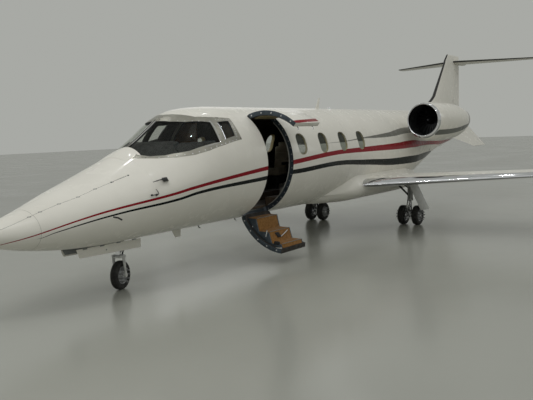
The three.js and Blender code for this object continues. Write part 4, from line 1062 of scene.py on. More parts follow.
def makeEngine():
    v = engineValues
    centre = at(v['lip'], -v['out'], v['level'])
    outside = [0, 4, 12, 25, 40, 58, v['lipBand'], 120, 180, 260, *spaced(340, 2180, 80), v['nozzle'],
        *spaced(2280, 2480, 50)]
    inside = [*spaced(2480, 200, -76), 150, 110, 80, 50, 32, 20, 11, 6, 2]
    rings = []
    for along in outside:
        up, down, wide = readRow(nacelleRows, along)
        rings.append([centre + Vector((along, math.cos(a) * wide,
            math.sin(a) * (up if math.sin(a) > 0 else down))) / 1000 for a in turns(v['steps'])])
    for along in inside:
        radius = readTable(ductRows, along, 1)
        rings.append([centre + Vector((along, math.cos(a) * radius, math.sin(a) * radius)) / 1000
            for a in turns(v['steps'])])
    looks = [1 if a < v['lipBand'] else 3 if a >= v['nozzle'] else 0 for a in outside]
    looks += [1 if a <= 110 else 2 for a in inside]
    nacelle = loft('nacelle_left_skin', rings + rings[:1], False, rowLooks=looks)
    # the duct's inside takes the near-black liner, painted shade of the deep inlet
    dress(nacelle, use['nacelle paint'], use['polished lip'], use['duct liner painted shade'], use['nozzle metal'])
    handPair(nacelle, 'nacelle_skin', 'airframe', 'paint_white', 'nacelle')

    core = turned('core', [(a / 1000, r / 1000) for a, r in v['core']], centre, steps=56)
    vanes = []
    for k in range(v['vanes']):
        vane = block('vane', (0.88, -0.003, 0.27), (1.12, 0.003, 0.378), 0.002, 1)
        vane.data.transform(Matrix.Translation(centre) @ Matrix.Rotation(k * math.tau / v['vanes'], 4, 'X'))
        vanes.append(vane)
    layPair('engine_core', [core, *vanes], 'nozzle metal', 'hot_metal', 'airframe', 'engine')

    rows = [(104, 60, 0.52, 8), (170, 70, 0.66, 7), (240, 82, 0.82, 6), (305, 90, 0.98, 5), (359, 96, 1.1, 4)]
    rings = []
    for radius, width, pitch, thick in rows:
        ring = []
        for k in range(12):
            turn = k * math.tau / 12
            u, w = math.cos(turn) * width / 2, math.sin(turn) * thick / 2 + 5 * (1 - math.cos(turn) ** 2)
            ring.append(Vector((u * math.cos(pitch) - w * math.sin(pitch),
                u * math.sin(pitch) + w * math.cos(pitch), radius)) / 1000)
        rings.append(ring)
    # the blades and the spinner are near black, painted shade of the deep inlet
    blade = dress(loft('blade', rings), use['blade metal painted shade'])
    hubPoint = centre + Vector((v['middle'] / 1000, 0, 0))
    blades = []
    for k in range(v['blades']):
        one = twin(blade, 'blade')
        one.data.transform(Matrix.Translation(hubPoint) @ Matrix.Rotation(k * math.tau / v['blades'], 4, 'X'))
        blades.append(one)
    bpy.data.objects.remove(blade)
    fan = join('fan', *blades)
    spinner = turned('spinner', [(a / 1000, r / 1000) for a,
        r in [(290, 0), (293, 12), (303, 25), (333, 45), (390, 74), (440, 93), (480, 104), (578, 114),
        (578, 0)]], centre, steps=40)
    dress(spinner, use['blade metal painted shade'])
    handPair(join('fan_left_rotor', fan, spinner), 'fan_rotor', 'fan_SIDE', 'bare_metal', 'fan')

    root = [(10980, 6), (10992, 50), (11020, 88), (11080, 124), (11350, 168), (12500, 163), (12950, 100),
        (13150, 16)]
    rings = []
    for out in (520, 640, 760, 900, 1040, 1180):
        shrink = 1 - 0.226 * (out - 500) / 950
        shape = [(10980 + (s - 10980) * shrink, readTable(root, s, 1))
            for s in (10980, 10986, 10992, 11005, 11020, 11045, *spaced(11080, 13150, 115))]
        rings.append([at(s, -out, 2250 + t / 2) for s, t in shape] + [at(s, -out, 2250 - t / 2) for s,
            t in reversed(shape)])
    wearPair(loft('pylon_left_skin', rings), 'plain paint', 'pylon_skin', 'paint_white', 'airframe', 'pylon',
        angle=60)


makeEngine()
print('engines ready')


# Landing gear
gearValues = {'nose': {'station': 2200, 'axle': 214, 'radius': 214, 'width': 112, 'rim': 124, 'turned': 17,
    'leg': 2170, 'barrel': (((0, 0, 1115), (0, 0, 700), (0, 0, 690), (0, 0, 610)), (0.052, 0.052, 0.06, 0.06),
    28), 'cross': (((0, -120, 1000), (0, 120, 1000)), 0.036, 20),
    'drag': (((-520, 0, 1080), (-300, 0, 898), (-290, 0, 890), (-64, 0, 703)), (0.024, 0.024, 0.017, 0.017),
    16), 'oleo': (((0, 0, 600), (0, 0, 505)), 0.038, 28),
    'yoke': ((-80, -60), (-50, -100), (10, -104), (36, -60), (36, 60), (10, 104), (-50, 100), (-80, 60)),
    'lug': ((-160, -26), (-70, -40), (-70, 40), (-160, 26))},
    'main': {'station': 9920, 'axle': 222, 'radius': 222, 'width': 146, 'rim': 128, 'track': 1255, 'apart': 170,
    'leg': ((((0, 0, 1100), (0, 0, 640), (0, 0, 600), (0, 0, 560)), (0.06, 0.06, 0.066, 0.066), 28),
    (((0, 0, 330), (0, 0, 300), (0, 0, 222), (0, 0, 176)), (0.04, 0.052, 0.056, 0.044), 24),
    (((0, -240, 222), (0, -236, 222), (0, 236, 222), (0, 240, 222)), (0.024, 0.029, 0.029, 0.024), 20),
    (((0, 0, 872), (0, 0, 880), (0, 0, 930), (0, 0, 938)), (0.066, 0.078, 0.078, 0.066), 24),
    (((0, -86, 940), (0, 86, 940)), 0.036, 20)), 'oleo': (((0, 0, 575), (0, 0, 318)), 0.037, 28),
    'brace': ((((-20, -10, 640), (-60, 330, 985)), (0.02, 0.024), 14),
    (((-60, 330, 985), (-70, 410, 1010)), 0.03, 14), (((60, 30, 820), (80, 300, 1000)), (0.016, 0.028), 14)),
    'hoses': (((-62, -20, 900), (-78, -24, 700), (-86, -26, 560), (-92, -40, 440), (-66, -58, 330),
    (-40, -66, 268)), ((-62, 20, 900), (-76, 22, 700), (-84, 30, 540), (-94, 44, 430), (-66, 58, 330),
    (-40, 66, 268))), 'door': ((-300, -85, 984), (160, -85, 984), (396, -275, 362), (404, -283, 335),
    (380, -287, 325), (-66, -281, 345), (-84, -278, 354)),
    'rib': ((-240, -84, 955), (130, -84, 955), (350, -262, 385), (-40, -262, 400))}}


def makeWheel(name, centre, v, body, turn=Matrix()):
    radius, width, rim = v['radius'], v['width'], v['rim']
    half = width / 2
    edge = [(-0.62, rim), (-0.9, rim + 14), (-1.0, radius * 0.78), (-0.98, radius * 0.87),
        (-0.86, radius * 0.945), (-0.66, radius * 0.982), (-0.4, radius * 0.996)]
    crown = []
    for groove in (-0.33, -0.11, 0.11, 0.33):
        crown += [(groove - 0.035, radius * 0.999), (groove - 0.03, radius - 6), (groove + 0.03, radius - 6),
            (groove + 0.035, radius * 0.999)]
    inner = [(0.62, rim - 4), (-0.62, rim - 4)]
    profile = edge + crown + [(-a, r) for a, r in reversed(edge)] + inner
    tyre = turned(f'{name}_tyre', [(a * half / 1000, r / 1000) for a, r in profile], centre, (0, 1, 0), 72)
    tyre.data.transform(turn)
    wear(tyre, 'tyre rubber', 'tyre_rubber', body, name, angle=40)
    flange = [(-0.66, rim - 2), (-0.72, rim + 6), (-0.6, rim + 8), (-0.54, rim - 6), (-0.3, rim - 16),
        (-0.18, rim * 0.6), (-0.34, rim * 0.42), (-0.42, rim * 0.3), (-0.42, 32), (0.42, 32), (0.42, rim * 0.3),
        (0.3, rim * 0.42), (0.2, rim * 0.6), (0.32, rim - 16), (0.54, rim - 6), (0.6, rim + 8), (0.72, rim + 6),
        (0.66, rim - 2)]
    disc = turned(f'{name}_rim', [(a * half / 1000, r / 1000) for a, r in flange], centre, (0, 1, 0), 48)
    bolts = []
    for k in range(9):
        angle = k * math.tau / 9
        spot = centre + Vector((math.cos(angle), 0, math.sin(angle))) * rim * 0.78 / 1000
        hole = tube([spot - Vector((0, width / 1000, 0)), spot + Vector((0, width / 1000, 0))],
            rim * 0.085 / 1000, 12)
        bolts.append(hole)
    carve(disc, join('holes', *bolts))
    studs = []
    for sign in (-1, 1):
        for k in range(8):
            angle = (k + 0.5) * math.tau / 8
            spot = centre + Vector((math.cos(angle), 0, math.sin(angle))) * rim * 0.5 / 1000
            studs.append(tube([spot, spot + Vector((0, sign * half * 0.44 / 1000, 0))], 0.006, 6))
        cap = turned('cap', [(0, 0), (0, 0.036), (sign * half * 0.48 / 1000, 0.036),
            (sign * half * 0.62 / 1000, 0.026), (sign * half * 0.66 / 1000, 0)], centre, (0, 1, 0), 24)
        studs.append(cap)
    whole = join(f'{name}_rim', disc, *studs)
    whole.data.transform(turn)
    wear(whole, 'wheel alloy', 'bare_metal', body)


def makeMainGear():
    v = gearValues['main']
    s, y, axle = v['station'], -v['track'], v['axle']
    for name, side in sides.items():
        for spot, step in (('inner', -side), ('outer', side)):
            centre = at(s, side * v['track'] + step * v['apart'], axle)
            makeWheel(f'main_wheel_{spot}_{name}', centre, v, f'main_wheels_{name}')
    looks = ('gear enamel', 'chrome', 'wheel alloy', 'wheel alloy', 'gear enamel')
    leg = bars((s, y), *v['leg'])
    for one, look in zip(leg, looks):
        dress(one, use[look])
    handPair(join('leg', *leg), 'main_leg_strut', 'airframe', 'bare_metal', 'main_leg')
    layPair('main_oleo', bars((s, y), v['oleo']), 'chrome', 'bare_metal')
    links = [row for k in (-1, 1) for row in ((((-54, k * 34, 560), (-168, k * 20, 420)), (0.016, 0.014), 10),
        (((-168, k * 20, 420), (-50, k * 24, 265)), (0.014, 0.015), 10))]
    for along, half, z, radius in ((-168, 32, 420, 0.017), (-54, 48, 565, 0.016), (-50, 34, 262, 0.016)):
        links.append((((along, -half, z), (along, half, z)), radius, 12))
    layPair('main_torque_links', bars((s, y), *links), 'chrome', 'bare_metal')
    layPair('main_side_brace', bars((s, y), *v['brace']), 'dark steel', 'bare_metal')
    layPair('main_brakes', makeBrakes(s, y, axle), 'chrome', 'bare_metal')
    layPair('brake_hoses', bars((s, y), *[(run, 0.007, 8) for run in v['hoses']]), 'panel black', 'dark_panel')

    def plate(rows, push):
        return slab('plate', [at(s + a, y + b, z) for a, b, z in rows], push, 0.003, 2)
    skin = plate(v['door'], (0, -0.009, -0.003))
    stay = bars((s, y), (((0, 0, 755), (0, -152, 755)), 0.014, 12))
    rib = plate(v['rib'], (0, 0.008, 0.003))
    layPair('main_gear_door_skin', [skin, *stay, rib], 'gear enamel', 'paint_white', 'airframe',
        'main_gear_door')


def makeBrakes(s, y, axle):  # a ribbed stack of plates with its cups, inside each wheel
    ribs = [(start + k * 0.01, r) for k in range(4) for start,
        r in ((0.006, 0.1), (0.006, 0.108), (0.012, 0.108), (0.012, 0.1))]
    stacks = []
    for sign in (-1, 1):
        spot = at(s, y + sign * 78, axle)
        rings = [(0, 0.04), (0, 0.1), *ribs, (0.05, 0.1), (0.05, 0.04)]
        stacks.append(turned('stack', [(sign * a * 0.4, r) for a, r in rings], spot, (0, 1, 0), 36))
        for k in range(5):
            angle = math.radians(40 + k * 65)
            cup = spot + Vector((math.cos(angle) * 0.076, 0, math.sin(angle) * 0.076))
            stacks.append(tube([cup, cup - Vector((0, sign * 0.026, 0))], [0.019, 0.016], 12))
    return stacks


def makeNoseGear():
    v = gearValues['nose']
    s, axle, leg = v['station'], v['axle'], v['leg']
    pivot = Matrix.Translation(at(leg, 0, 0))
    turn = pivot @ Matrix.Rotation(math.radians(v['turned']), 4, 'Z') @ pivot.inverted()
    makeWheel('nose_wheel', at(s, 0, axle), v, 'nose_wheel', turn)
    strut = [*bars((leg, 0), v['barrel'], v['cross']), *bars((s, 0), v['drag']),
        block('bracket', at(s - 560, -60, 1050), at(s - 480, 60, 1119), 0.01)]
    lay('nose_leg_strut', strut, 'gear enamel', 'bare_metal', 'airframe', 'nose_leg')
    lay('nose_oleo', bars((leg, 0), v['oleo']), 'chrome', 'bare_metal', 'nose_fork')

    def layTurned(name, some, look, *replaced):
        piece = join(name, *some)
        piece.data.transform(turn)
        wear(piece, look, 'bare_metal', 'nose_fork', *replaced)
    yoke = slab('yoke', [at(s + a, b, 478) for a, b in v['yoke']], (0, 0, 0.042), 0.008)
    arms = [row for k in (-1, 1) for row in ((((-22, k * 84, 500), (-16, k * 88, 420), (-4, k * 88, 300),
        (0, k * 88, axle)), (0.024, 0.022, 0.02, 0.026), 16),
        (((0, k * 72, axle), (0, k * 106, axle)), 0.032, 20))]
    arms = bars((s, 0), *arms, (((0, -110, axle), (0, 110, axle)), 0.015, 16))
    lug = slab('lug', [at(s + a, b, 488) for a, b in v['lug']], (0, 0, 0.03), 0.006)
    layTurned('nose_fork_yoke', [yoke, *arms, lug], 'gear enamel', 'nose_fork')
    links = [row for k in (-1, 1) for row in ((((48, k * 28, 640), (140, k * 14, 575)), (0.012, 0.01), 10),
        (((140, k * 14, 575), (62, k * 28, 505)), (0.01, 0.012), 10))]
    links += [(((140, -24, 575), (140, 24, 575)), 0.011, 12), (((0, 0, 628), (0, 0, 660)), 0.068, 24)]
    layTurned('nose_torque_links', bars((leg, 0), *links), 'dark steel')

    spots = [at(leg - 52, k * 74, 745) for k in (-1, 1)]
    shell = [(0.0, 0), (-0.004, 0.02), (-0.03, 0.044), (-0.06, 0.052), (-0.066, 0.05), (-0.06, 0.046),
        (-0.03, 0)]
    shells = [turned('lamp', shell, spot, steps=28) for spot in spots]
    bar = bars((leg, 0), (((-56, -80, 745), (-56, 80, 745)), 0.01, 10))
    lay('taxi_lamp_shells', [*shells, *bar], 'panel black', 'dark_panel')
    lens = [(-0.034, 0), (-0.056, 0.045), (-0.061, 0.03), (-0.064, 0)]
    lay('taxi_lamp_lenses', [turned('lens', lens, spot, steps=28) for spot in spots], 'clear lens',
        'clear_glass')

    well = hullValues['well']
    y, aft = -(well['half'] + 10), well['aft'] - 20
    skin = sideSlab(y, ((1290, 748), (aft, 735), (aft, 616), (aft - 14, 601), (1350, 621), (1336, 632)), 5,
        0.002)
    arm = bars((s, y), (((-390, 0, 660), (-390, 30, 710), (-390, 34, 830)), 0.012, 12))
    hinges = bars((0, y), *[(((a, -4, 737), (a + 70, -4, 737)), 0.008, 10) for a in (1400, 1700, 2000, 2300)])
    lining = sideSlab(y + 5, ((1320, 728), (aft - 20, 728), (aft - 20, 622), (1366, 640)), 5, 0.002)
    dress(skin, use['plain paint'])
    for one in (lining, *arm, *hinges):
        dress(one, use['primer grey'])
    handPair(join('door', skin, lining, *arm, *hinges), 'nose_gear_door_skin', 'airframe', 'paint_white',
        'nose_gear_door')


makeMainGear()
makeNoseGear()
print('landing gear ready')


# The two-piece door stands open; each leaf is made shut and then swung about its hinge
def swing(piece, degrees, pivot):
    attribute = piece.data.attributes.new('shut_place', 'FLOAT_VECTOR', 'POINT')
    for i, vertex in enumerate(piece.data.vertices):
        attribute.data[i].vector = vertex.co
    turn = Matrix.Rotation(math.radians(degrees), 4, 'X')
    piece.data.transform(Matrix.Translation(pivot) @ turn @ Matrix.Translation(-pivot))
    return piece


def arcPoint(station, degrees, radius):  # a point on a circle round the cabin's axis, port side
    angle = math.radians(degrees)
    return at(station, -math.cos(angle) * radius, hullValues['axis'] + math.sin(angle) * radius)


def makeDoorLeaf(name, low, high, corner, meeting, swingBy, pivot, body, replaced):
    v = doorValues
    lip = math.degrees(v['gap'] / 2 / hullValues['radius'])
    leaf = sectorSlab(f'{name}_leaf', 904, hullValues['radius'], low + lip, high - lip, v['fore'], v['aft'],
        (corner,), v['corner'])
    for face in leaf.data.polygons:
        middle = face.center - Vector((face.center.x, 0, hullValues['axis'] / 1000))
        facing = face.normal.dot(middle.normalized())
        face.material_index = 0 if facing > 0.7 else 2 if facing < -0.7 else 1
        # the edge where the leaves meet
        if abs(facing) < 0.4 and abs(face.normal.x) < 0.4 and abs(middle.z) < 0.2:
            face.material_index = meeting
    roundEdges(leaf, 0.004, 2, 50)
    # the leaves' inner faces take the cabin's near-black painted shade
    dress(leaf, use['door paint'], use['door edge'], use['cabin painted shade'], use['plain paint'])
    hand(swing(leaf, swingBy, pivot), body, 'paint_white', replaced)
    pins, seal = [], []
    for station, way in ((v['fore'], -1), (v['aft'], 1)):
        for k in range(5):
            degrees = low + (high - low) * (k + 0.5) / 5
            spot = arcPoint(station, degrees, 944)
            pins.append(tube([spot + Vector((-way * 0.01, 0, 0)), spot + Vector((way * 0.002, 0, 0)),
                spot + Vector((way * 0.004, 0, 0))], [0.013, 0.013, 0.009], 14))
        inner = [arcPoint(station - way * 20, low + 2 + (high - low - 4) * k / 16, 903) for k in range(17)]
        seal.append(tube(inner, 0.007, 8))
    wear(swing(join(f'{name}_pins', *pins), swingBy, pivot), 'chrome', 'bare_metal', body)
    wear(swing(join(f'{name}_seals', *seal), swingBy, pivot), 'panel black', 'cabin_trim', body)


def makeDoor():
    v = doorValues
    upper, lower = (arcPoint(v['fore'], v[k], hullValues['radius'] + 2) for k in ('top', 'bottom'))
    makeDoorLeaf('door_upper', v['split'], v['top'], 'high', 3, -v['upperSwing'], upper, 'door_upper',
        'door_upper')
    makeDoorLeaf('door_lower', v['bottom'], v['split'], 'low', 2, v['lowerSwing'], lower, 'door_lower',
        'door_lower')
    liner = sectorSlab('door_upper_liner', 884, 906, v['split'] + 7, v['top'] - 5, v['fore'] + 60,
        v['aft'] - 60, ('low', 'high'), 50)
    roundEdges(liner, 0.008, 3, 50)
    wear(swing(liner, -v['upperSwing'], upper), 'headliner', 'cabin_trim', 'door_upper')
    hooks = []
    for station in (v['fore'] + 150, v['aft'] - 150):
        foot, bend = arcPoint(station, v['split'] + 2.4, 906), arcPoint(station, v['split'] + 1.2, 889)
        hooks.append(tube([foot, bend, bend + Vector((0, 0.004, -0.03)), bend + Vector((0, 0.03, -0.045))],
            0.009, 10))
    grip = [arcPoint(v['fore'] + 300, 8, 884), arcPoint(v['fore'] + 300, 8, 850),
        arcPoint(v['fore'] + 320, 8, 842), arcPoint(v['aft'] - 320, 8, 842), arcPoint(v['aft'] - 300, 8, 850),
        arcPoint(v['aft'] - 300, 8, 884)]
    hooks.append(tube(grip, 0.01, 12))
    wear(swing(join('door_upper_fittings', *hooks), -v['upperSwing'], upper), 'chrome', 'bare_metal',
        'door_upper')
    makeSteps(lower)


stepValues = {'profile': [(-430, 765), (-640, 760), (-690, 545), (-900, 540), (-955, 352), (-1150, 348),
    (-1185, 200), (-430, 200)], 'cheek': [(-430, 758), (-634, 753), (-684, 538), (-894, 533), (-949, 345),
    (-1144, 341), (-1178, 200), (-430, 200)], 'fore': 4740, 'aft': 5402, 'bed': 0.9}


def makeSteps(pivot):
    s = stepValues
    fore, aft = s['fore'], s['aft']
    turn = Matrix.Rotation(math.radians(doorValues['lowerSwing']), 4, 'X')
    centre = (Matrix.Translation(pivot) @ turn @ Matrix.Translation(-pivot) @ at(doorValues['fore'], 0,
        hullValues['axis']))

    def trimmed(piece):  # cut to the round inside of the leaf
        ends = [centre + Vector((shift, 0, 0)) for shift in (-0.1, 1.0)]
        return carve(piece, tube(ends, s['bed'], 96), 'INTERSECT')
    outline = [at(fore + 28, y, z) for y, z in s['profile']]
    treads = trimmed(slab('treads', outline, ((aft - fore - 56) / 1000, 0, 0), 0.014, 3))
    wear(treads, 'step carpet', 'carpet', 'door_lower', 'door_steps')
    cheeks = [slab('cheek', [at(station, y, z) for y, z in s['cheek']], (way * 0.026, 0, 0), 0.004) for station,
        way in ((fore, 1), (aft, -1))]
    wear(trimmed(join('step_cheeks', *cheeks)), 'door edge', 'dark_panel', 'door_lower')
    edges = s['profile'][1:6:2]
    nosings = bars((0, 0), *[(((fore + 30, y, z - 2), (aft - 30, y, z - 2)), 0.006, 10) for y, z in edges])
    lay('step_nosings', nosings, 'brushed frame', 'bare_metal', 'door_lower')
    mat = slab('mat', [at(4890, -909, 510), at(5000, -909, 510), at(5062, -934, 425), at(4950, -934, 425)],
        (0, -0.018, -0.005), 0.005)
    latch = [at(fore - 6, y, z) for y, z in ((-1000, 330), (-1110, 325), (-1105, 385), (-1005, 388))]
    lay('step_mat', [mat, slab('latch', latch, (0.04, 0, 0), 0.008)], 'black mat', 'dark_panel', 'door_lower')
    studs = [(((fore, y, z), (fore - 10, y, z)), (0.018, 0.013), 12) for y,
        z in ((-555, 612), (-552, 508), (-716, 396), (-969, 300))]
    stays = bars((0, 0), (((5030, -948, 424), (5150, -940, 462), (5270, -928, 506)), 0.009, 10),
        (((fore - 6, -846, 458), (fore - 6, -872, 568)), (0.012, 0.009), 10),
        (((fore - 34, -1046, 282), (fore - 34, -1172, 288)), 0.014, 12), *studs)
    lay('step_stays', stays, 'chrome', 'bare_metal', 'door_lower')


def makeJamb():
    v = doorValues
    seals, sockets = [], []
    for station, way in ((v['fore'] - v['gap'], 1), (v['aft'] + v['gap'], -1)):
        line = [arcPoint(station + way * 3, v['bottom'] + 6 + (v['top'] - v['bottom'] - 12) * k / 30, 897)
            for k in range(31)]
        seals.append(tube(line, 0.008, 8))
        for k in range(17):
            degrees = v['bottom'] + (v['top'] - v['bottom']) * (k + 0.6) / 17.4
            spot = arcPoint(station, degrees, 955)
            sockets.append(tube([spot - Vector((way * 0.004, 0, 0)), spot + Vector((way * 0.003, 0, 0))], 0.012,
                8))
    lay('doorway_seal', seals, 'seal rubber', 'cabin_trim')
    lay('doorway_sockets', sockets, 'wheel alloy', 'bare_metal')
    sill = sectorSlab('doorway_sill', 906, 930, v['bottom'] - 1.6, v['bottom'] - 0.1, v['fore'] + 20,
        v['aft'] - 20)
    wear(sill, 'brushed frame', 'bare_metal')


makeDoor()
makeJamb()
print('door ready')


# Seats and flight deck
seatValues = {
    'pilot': {'station': 3280, 'out': 400, 'facing': 1, 'high': 1110, 'leather': 'crew leather'},
    'cabin_left': {'station': 6650, 'out': -560, 'facing': -1, 'high': 1000, 'leather': 'cream leather'},
    'cabin_right': {'station': 6900, 'out': 560, 'facing': 1, 'high': 1000, 'leather': 'cream leather'},
}


def padShape(name, low, high, bevel):  # a cushion blank about the origin, slightly smaller than the pad
    pad = block(name, low, high, bevel, 4)
    modify(pad, 'SUBSURF', levels=1, render_levels=1)
    return pad


def plump(pad, voxel, reach, pressure=4.0):  # swells the pad as stuffed leather, by cloth
    modify(pad, 'REMESH', mode='VOXEL', voxel_size=voxel)
    start = [v.co.copy() for v in pad.data.vertices]
    cloth = pad.modifiers.new('cloth', 'CLOTH')
    cloth.settings.use_pressure = True
    cloth.settings.uniform_pressure_force = pressure
    cloth.settings.effector_weights.gravity = 0
    cloth.point_cache.frame_start, cloth.point_cache.frame_end = 1, 20
    for step in range(1, 21):
        bpy.context.scene.frame_set(step)
    pick(pad)
    bpy.ops.object.modifier_apply(modifier=cloth.name)
    bpy.context.scene.frame_set(1)
    for vertex, was in zip(pad.data.vertices, start):
        move = vertex.co - was
        if move.length > reach:
            vertex.co = was + move.normalized() * reach
    modify(pad, 'SUBSURF', levels=1, render_levels=1)
    return pad


def channel(pad, axis, spots, depth, width):  # sewn channels pressed into the top of a pad
    top = max(v.co.z for v in pad.data.vertices)
    for vertex in pad.data.vertices:
        for spot in spots:
            apart = abs(vertex.co[axis] - spot)
            if apart < width and vertex.co.z > top * 0.2:
                vertex.co.z -= depth * (0.5 + 0.5 * math.cos(math.pi * apart / width))
    return pad


def makeSeats():
    base = plump(padShape('seat_pad', (-0.215, -0.225, -0.058), (0.215, 0.225, 0.058), 0.04), 0.009, 0.016)
    channel(base, 1, (-0.11, 0.11), 0.008, 0.016)
    back = plump(padShape('back_pad', (-0.3, -0.215, -0.05), (0.3, 0.215, 0.05), 0.04), 0.009, 0.016)
    channel(back, 0, (-0.15, 0.0, 0.15), 0.008, 0.016)
    head = plump(padShape('head_pad', (-0.075, -0.13, -0.04), (0.075, 0.13, 0.04), 0.03), 0.009, 0.01)
    rows = [('pilot_seat_left', 'pilot', -1), ('pilot_seat_right', 'pilot', 1),
        ('cabin_seat_left', 'cabin_left', 1), ('cabin_seat_right', 'cabin_right', 1)]
    for name, kind, sign in rows:
        v = seatValues[kind]
        station, y, facing = v['station'], v['out'] * sign, v['facing']
        middle = at(station + 330, y, 1050)

        def put(pad, suffix, along, rise, tilt):
            one = twin(pad, f'{name}_{suffix}')
            one.data.transform(Matrix.Translation(middle
                + Vector((facing * along, 0, rise))) @ Matrix.Rotation(math.pi if facing < 0 else 0, 4,
                'Z') @ Matrix.Rotation(tilt, 4, 'Y'))
            return dress(one, use[v['leather']])
        cushion = put(base, 'cushion', -0.1, 0.36, math.radians(-2))
        high = v['high'] / 1000
        rest = put(back, 'back', 0.185, 0.36 + (high - 0.36) * 0.5 - 0.08, math.radians(-80))
        top = put(head, 'headrest', 0.25, high - 0.1, math.radians(-84))
        foot = block('foot', middle + Vector((-0.17, -0.06, 0.0)), middle + Vector((0.17, 0.06, 0.13)), 0.012)
        frameBox = block('frame', middle + Vector((-0.2, -0.13, 0.12)), middle + Vector((0.2, 0.13, 0.29)),
            0.02)
        arms = [block('arm', middle + Vector((-0.2 if facing > 0 else -0.12, k * 0.235 - 0.02, 0.5)),
            middle + Vector((0.12 if facing > 0 else 0.2, k * 0.235 + 0.02, 0.56)), 0.016) for k in (-1, 1)]
        posts = [block('post', middle + Vector((-0.03, k * 0.235 - 0.015, 0.28)),
            middle + Vector((0.03, k * 0.235 + 0.015, 0.51)), 0.008) for k in (-1, 1)]
        stand = dress(join(f'{name}_frame', frameBox, foot, *arms, *posts), use['panel black'])
        hand(stand, 'airframe', 'dark_panel')
        for pad, replaced in ((cushion, [name]), (rest, []), (top, [])):
            hand(pad, 'airframe', 'leather', *replaced, angle=60)
    for pad in (base, back, head):
        bpy.data.objects.remove(pad)


deskValues = {'shield': ((2440, 1900), (2440, 1975), (2600, 2055), (2780, 2120), (2930, 2152), (2975, 2146),
    (2985, 2118), (2900, 2096), (2880, 1972)), 'panel': ((2700, 1500), (2700, 1990), (2860, 1980),
    (2830, 1500)), 'pedestal': ((2700, 1052), (2700, 1700), (2840, 1640), (3000, 1500), (3460, 1490),
    (3480, 1470), (3480, 1052)), 'sill': ((2900, 1500), (2900, 2118), (3300, 2122), (3560, 2104), (3600, 2080),
    (3600, 1500)), 'screens': (-480, -245, 0, 245, 480), 'levers': (-50, -18, 18, 50), 'wheels': (-400, 400)}


def makeFlightDeck():
    v = deskValues
    room = hullSkin('room', 2320, 4280, 40)
    closeSeams(room, True)
    some = [sideSlab(y, v[kind], across, bevel) for kind, y, across,
        bevel in (('shield', -720, 1440, 0.012), ('panel', -700, 1400, 0.006), ('pedestal', -140, 280, 0.012),
        ('sill', -900, 340, 0.012), ('sill', 900, -340, 0.012))]
    desk = join('instrument_desk', *some)
    modify(desk, 'BOOLEAN', operation='INTERSECT', solver='EXACT', object=room, use_self=True)
    bpy.data.objects.remove(room)
    wear(desk, 'panel black', 'dark_panel', 'airframe', 'instrument_panel')
    screens = [block('screen', at(2838, y - 105, 1690), at(2852, y + 105, 1900), 0.006) for y in v['screens']]
    lay('flight_displays', screens, 'display glass', 'dark_panel')
    controls = bars((0, 0), *[row for y in v['levers']
        for row in ((((3100, y, 1490), (3130, y, 1590)), 0.006, 8),
        (((3122, y, 1580), (3136, y, 1612)), (0.014, 0.011), 12))])
    rim = [(3080 + 10 * abs(math.sin(a)), 165 * math.cos(a), 1600 + 105 * math.sin(a))
        for a in (math.radians(-225 + 270 * k / 22) for k in range(23))]
    for y in v['wheels']:  # control wheels on their columns
        controls += bars((0, y), (rim, 0.014, 10), (((3085, -110, 1545), (3080, 0, 1575), (3085, 110, 1545)),
            0.012, 10), (((3080, 0, 1575), (2850, 0, 1560)), 0.022, 14))
    lay('flight_controls', controls, 'panel black', 'dark_panel')


def makeCabinet():
    low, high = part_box('galley_cabinet')
    body = block('cabinet', low, high, 0.006)
    doors = []
    width = (high.x - low.x - 0.05) / 3
    for k in range(3):
        for start, end in ((0.04, 0.46), (0.48, 0.8)):
            x = low.x + 0.02 + k * (width + 0.005)
            doors.append(block('door', (x, low.y - 0.008, low.z + start),
                (x + width, low.y + 0.004, low.z + end), 0.004))
    lay('galley_front', [body, *doors], 'wood veneer', 'cabin_trim', 'airframe', 'galley_cabinet')
    knobs = [tube([Vector((low.x + 0.05 + k * (width + 0.005), low.y - 0.006, low.z + 0.42)),
        Vector((low.x + 0.05 + k * (width + 0.005), low.y - 0.024, low.z + 0.42))], 0.009, 12)
        for k in range(3)]
    lay('galley_knobs', knobs, 'chrome', 'bare_metal')


makeSeats()
print('seats ready')
makeFlightDeck()
makeCabinet()
print('interior ready')


# Small fittings on the skin
def skinNormal(station, z, side=-1):
    a, b, c = hullAt(station, z, side), hullAt(station + 10, z, side), hullAt(station, z + 10, side)
    normal = (b - a).cross(c - a).normalized()
    return normal if normal.y * side > 0 else -normal


def seam(points, radius, lift, side=-1, step=60):  # a bead laid on the skin through stations and heights
    line = []
    for (s0, z0), (s1, z1) in zip(points, points[1:]):
        count = max(1, round(abs(s1 - s0) / step))
        line += [(s0 + (s1 - s0) * k / count, z0 + (z1 - z0) * k / count) for k in range(count)]
    line.append(points[-1])
    return tube([hullAt(s, z, side, lift) for s, z in line], radius, 8)


fittingValues = {'probe': ((2375, 1585), (2462, 1590), (2462, 1628), (2375, 1620)),
    'vane': ((2110, 1420), (2205, 1420), (2217, 1428), (2214, 1458), (2196, 1494)),
    'ports': ((1706, 1631, 0.013), (1975, 1706, 0.013), (12300, 1640, 0.026)),
    'slot': [(1520, 1190), (1590, 1172), (1654, 1136)], 'hatch': [(1706, 1631), (1975, 1706)],
    'bay': [(210, 1172), (561, 1290), (705, 1337), (950, 1413), (1200, 1479), (1459, 1561), (1717, 1634),
    (1977, 1711)], 'foreBead': [(3662, 2432), (3648, 2340), (3622, 2230), (3598, 2105), (3450, 2078),
    (3290, 2046)], 'aftBead': [(3728, 2142), (3760, 2300), (3778, 2412)],
    'gasket': ((2150, 112, -14), (2300, 60, -5), (2420, 8, 2), (2530, 4, 3), (2700, 2, 3), (2900, 0, 3),
    (3090, 0, 3)), 'drains': (4000, 5000)}


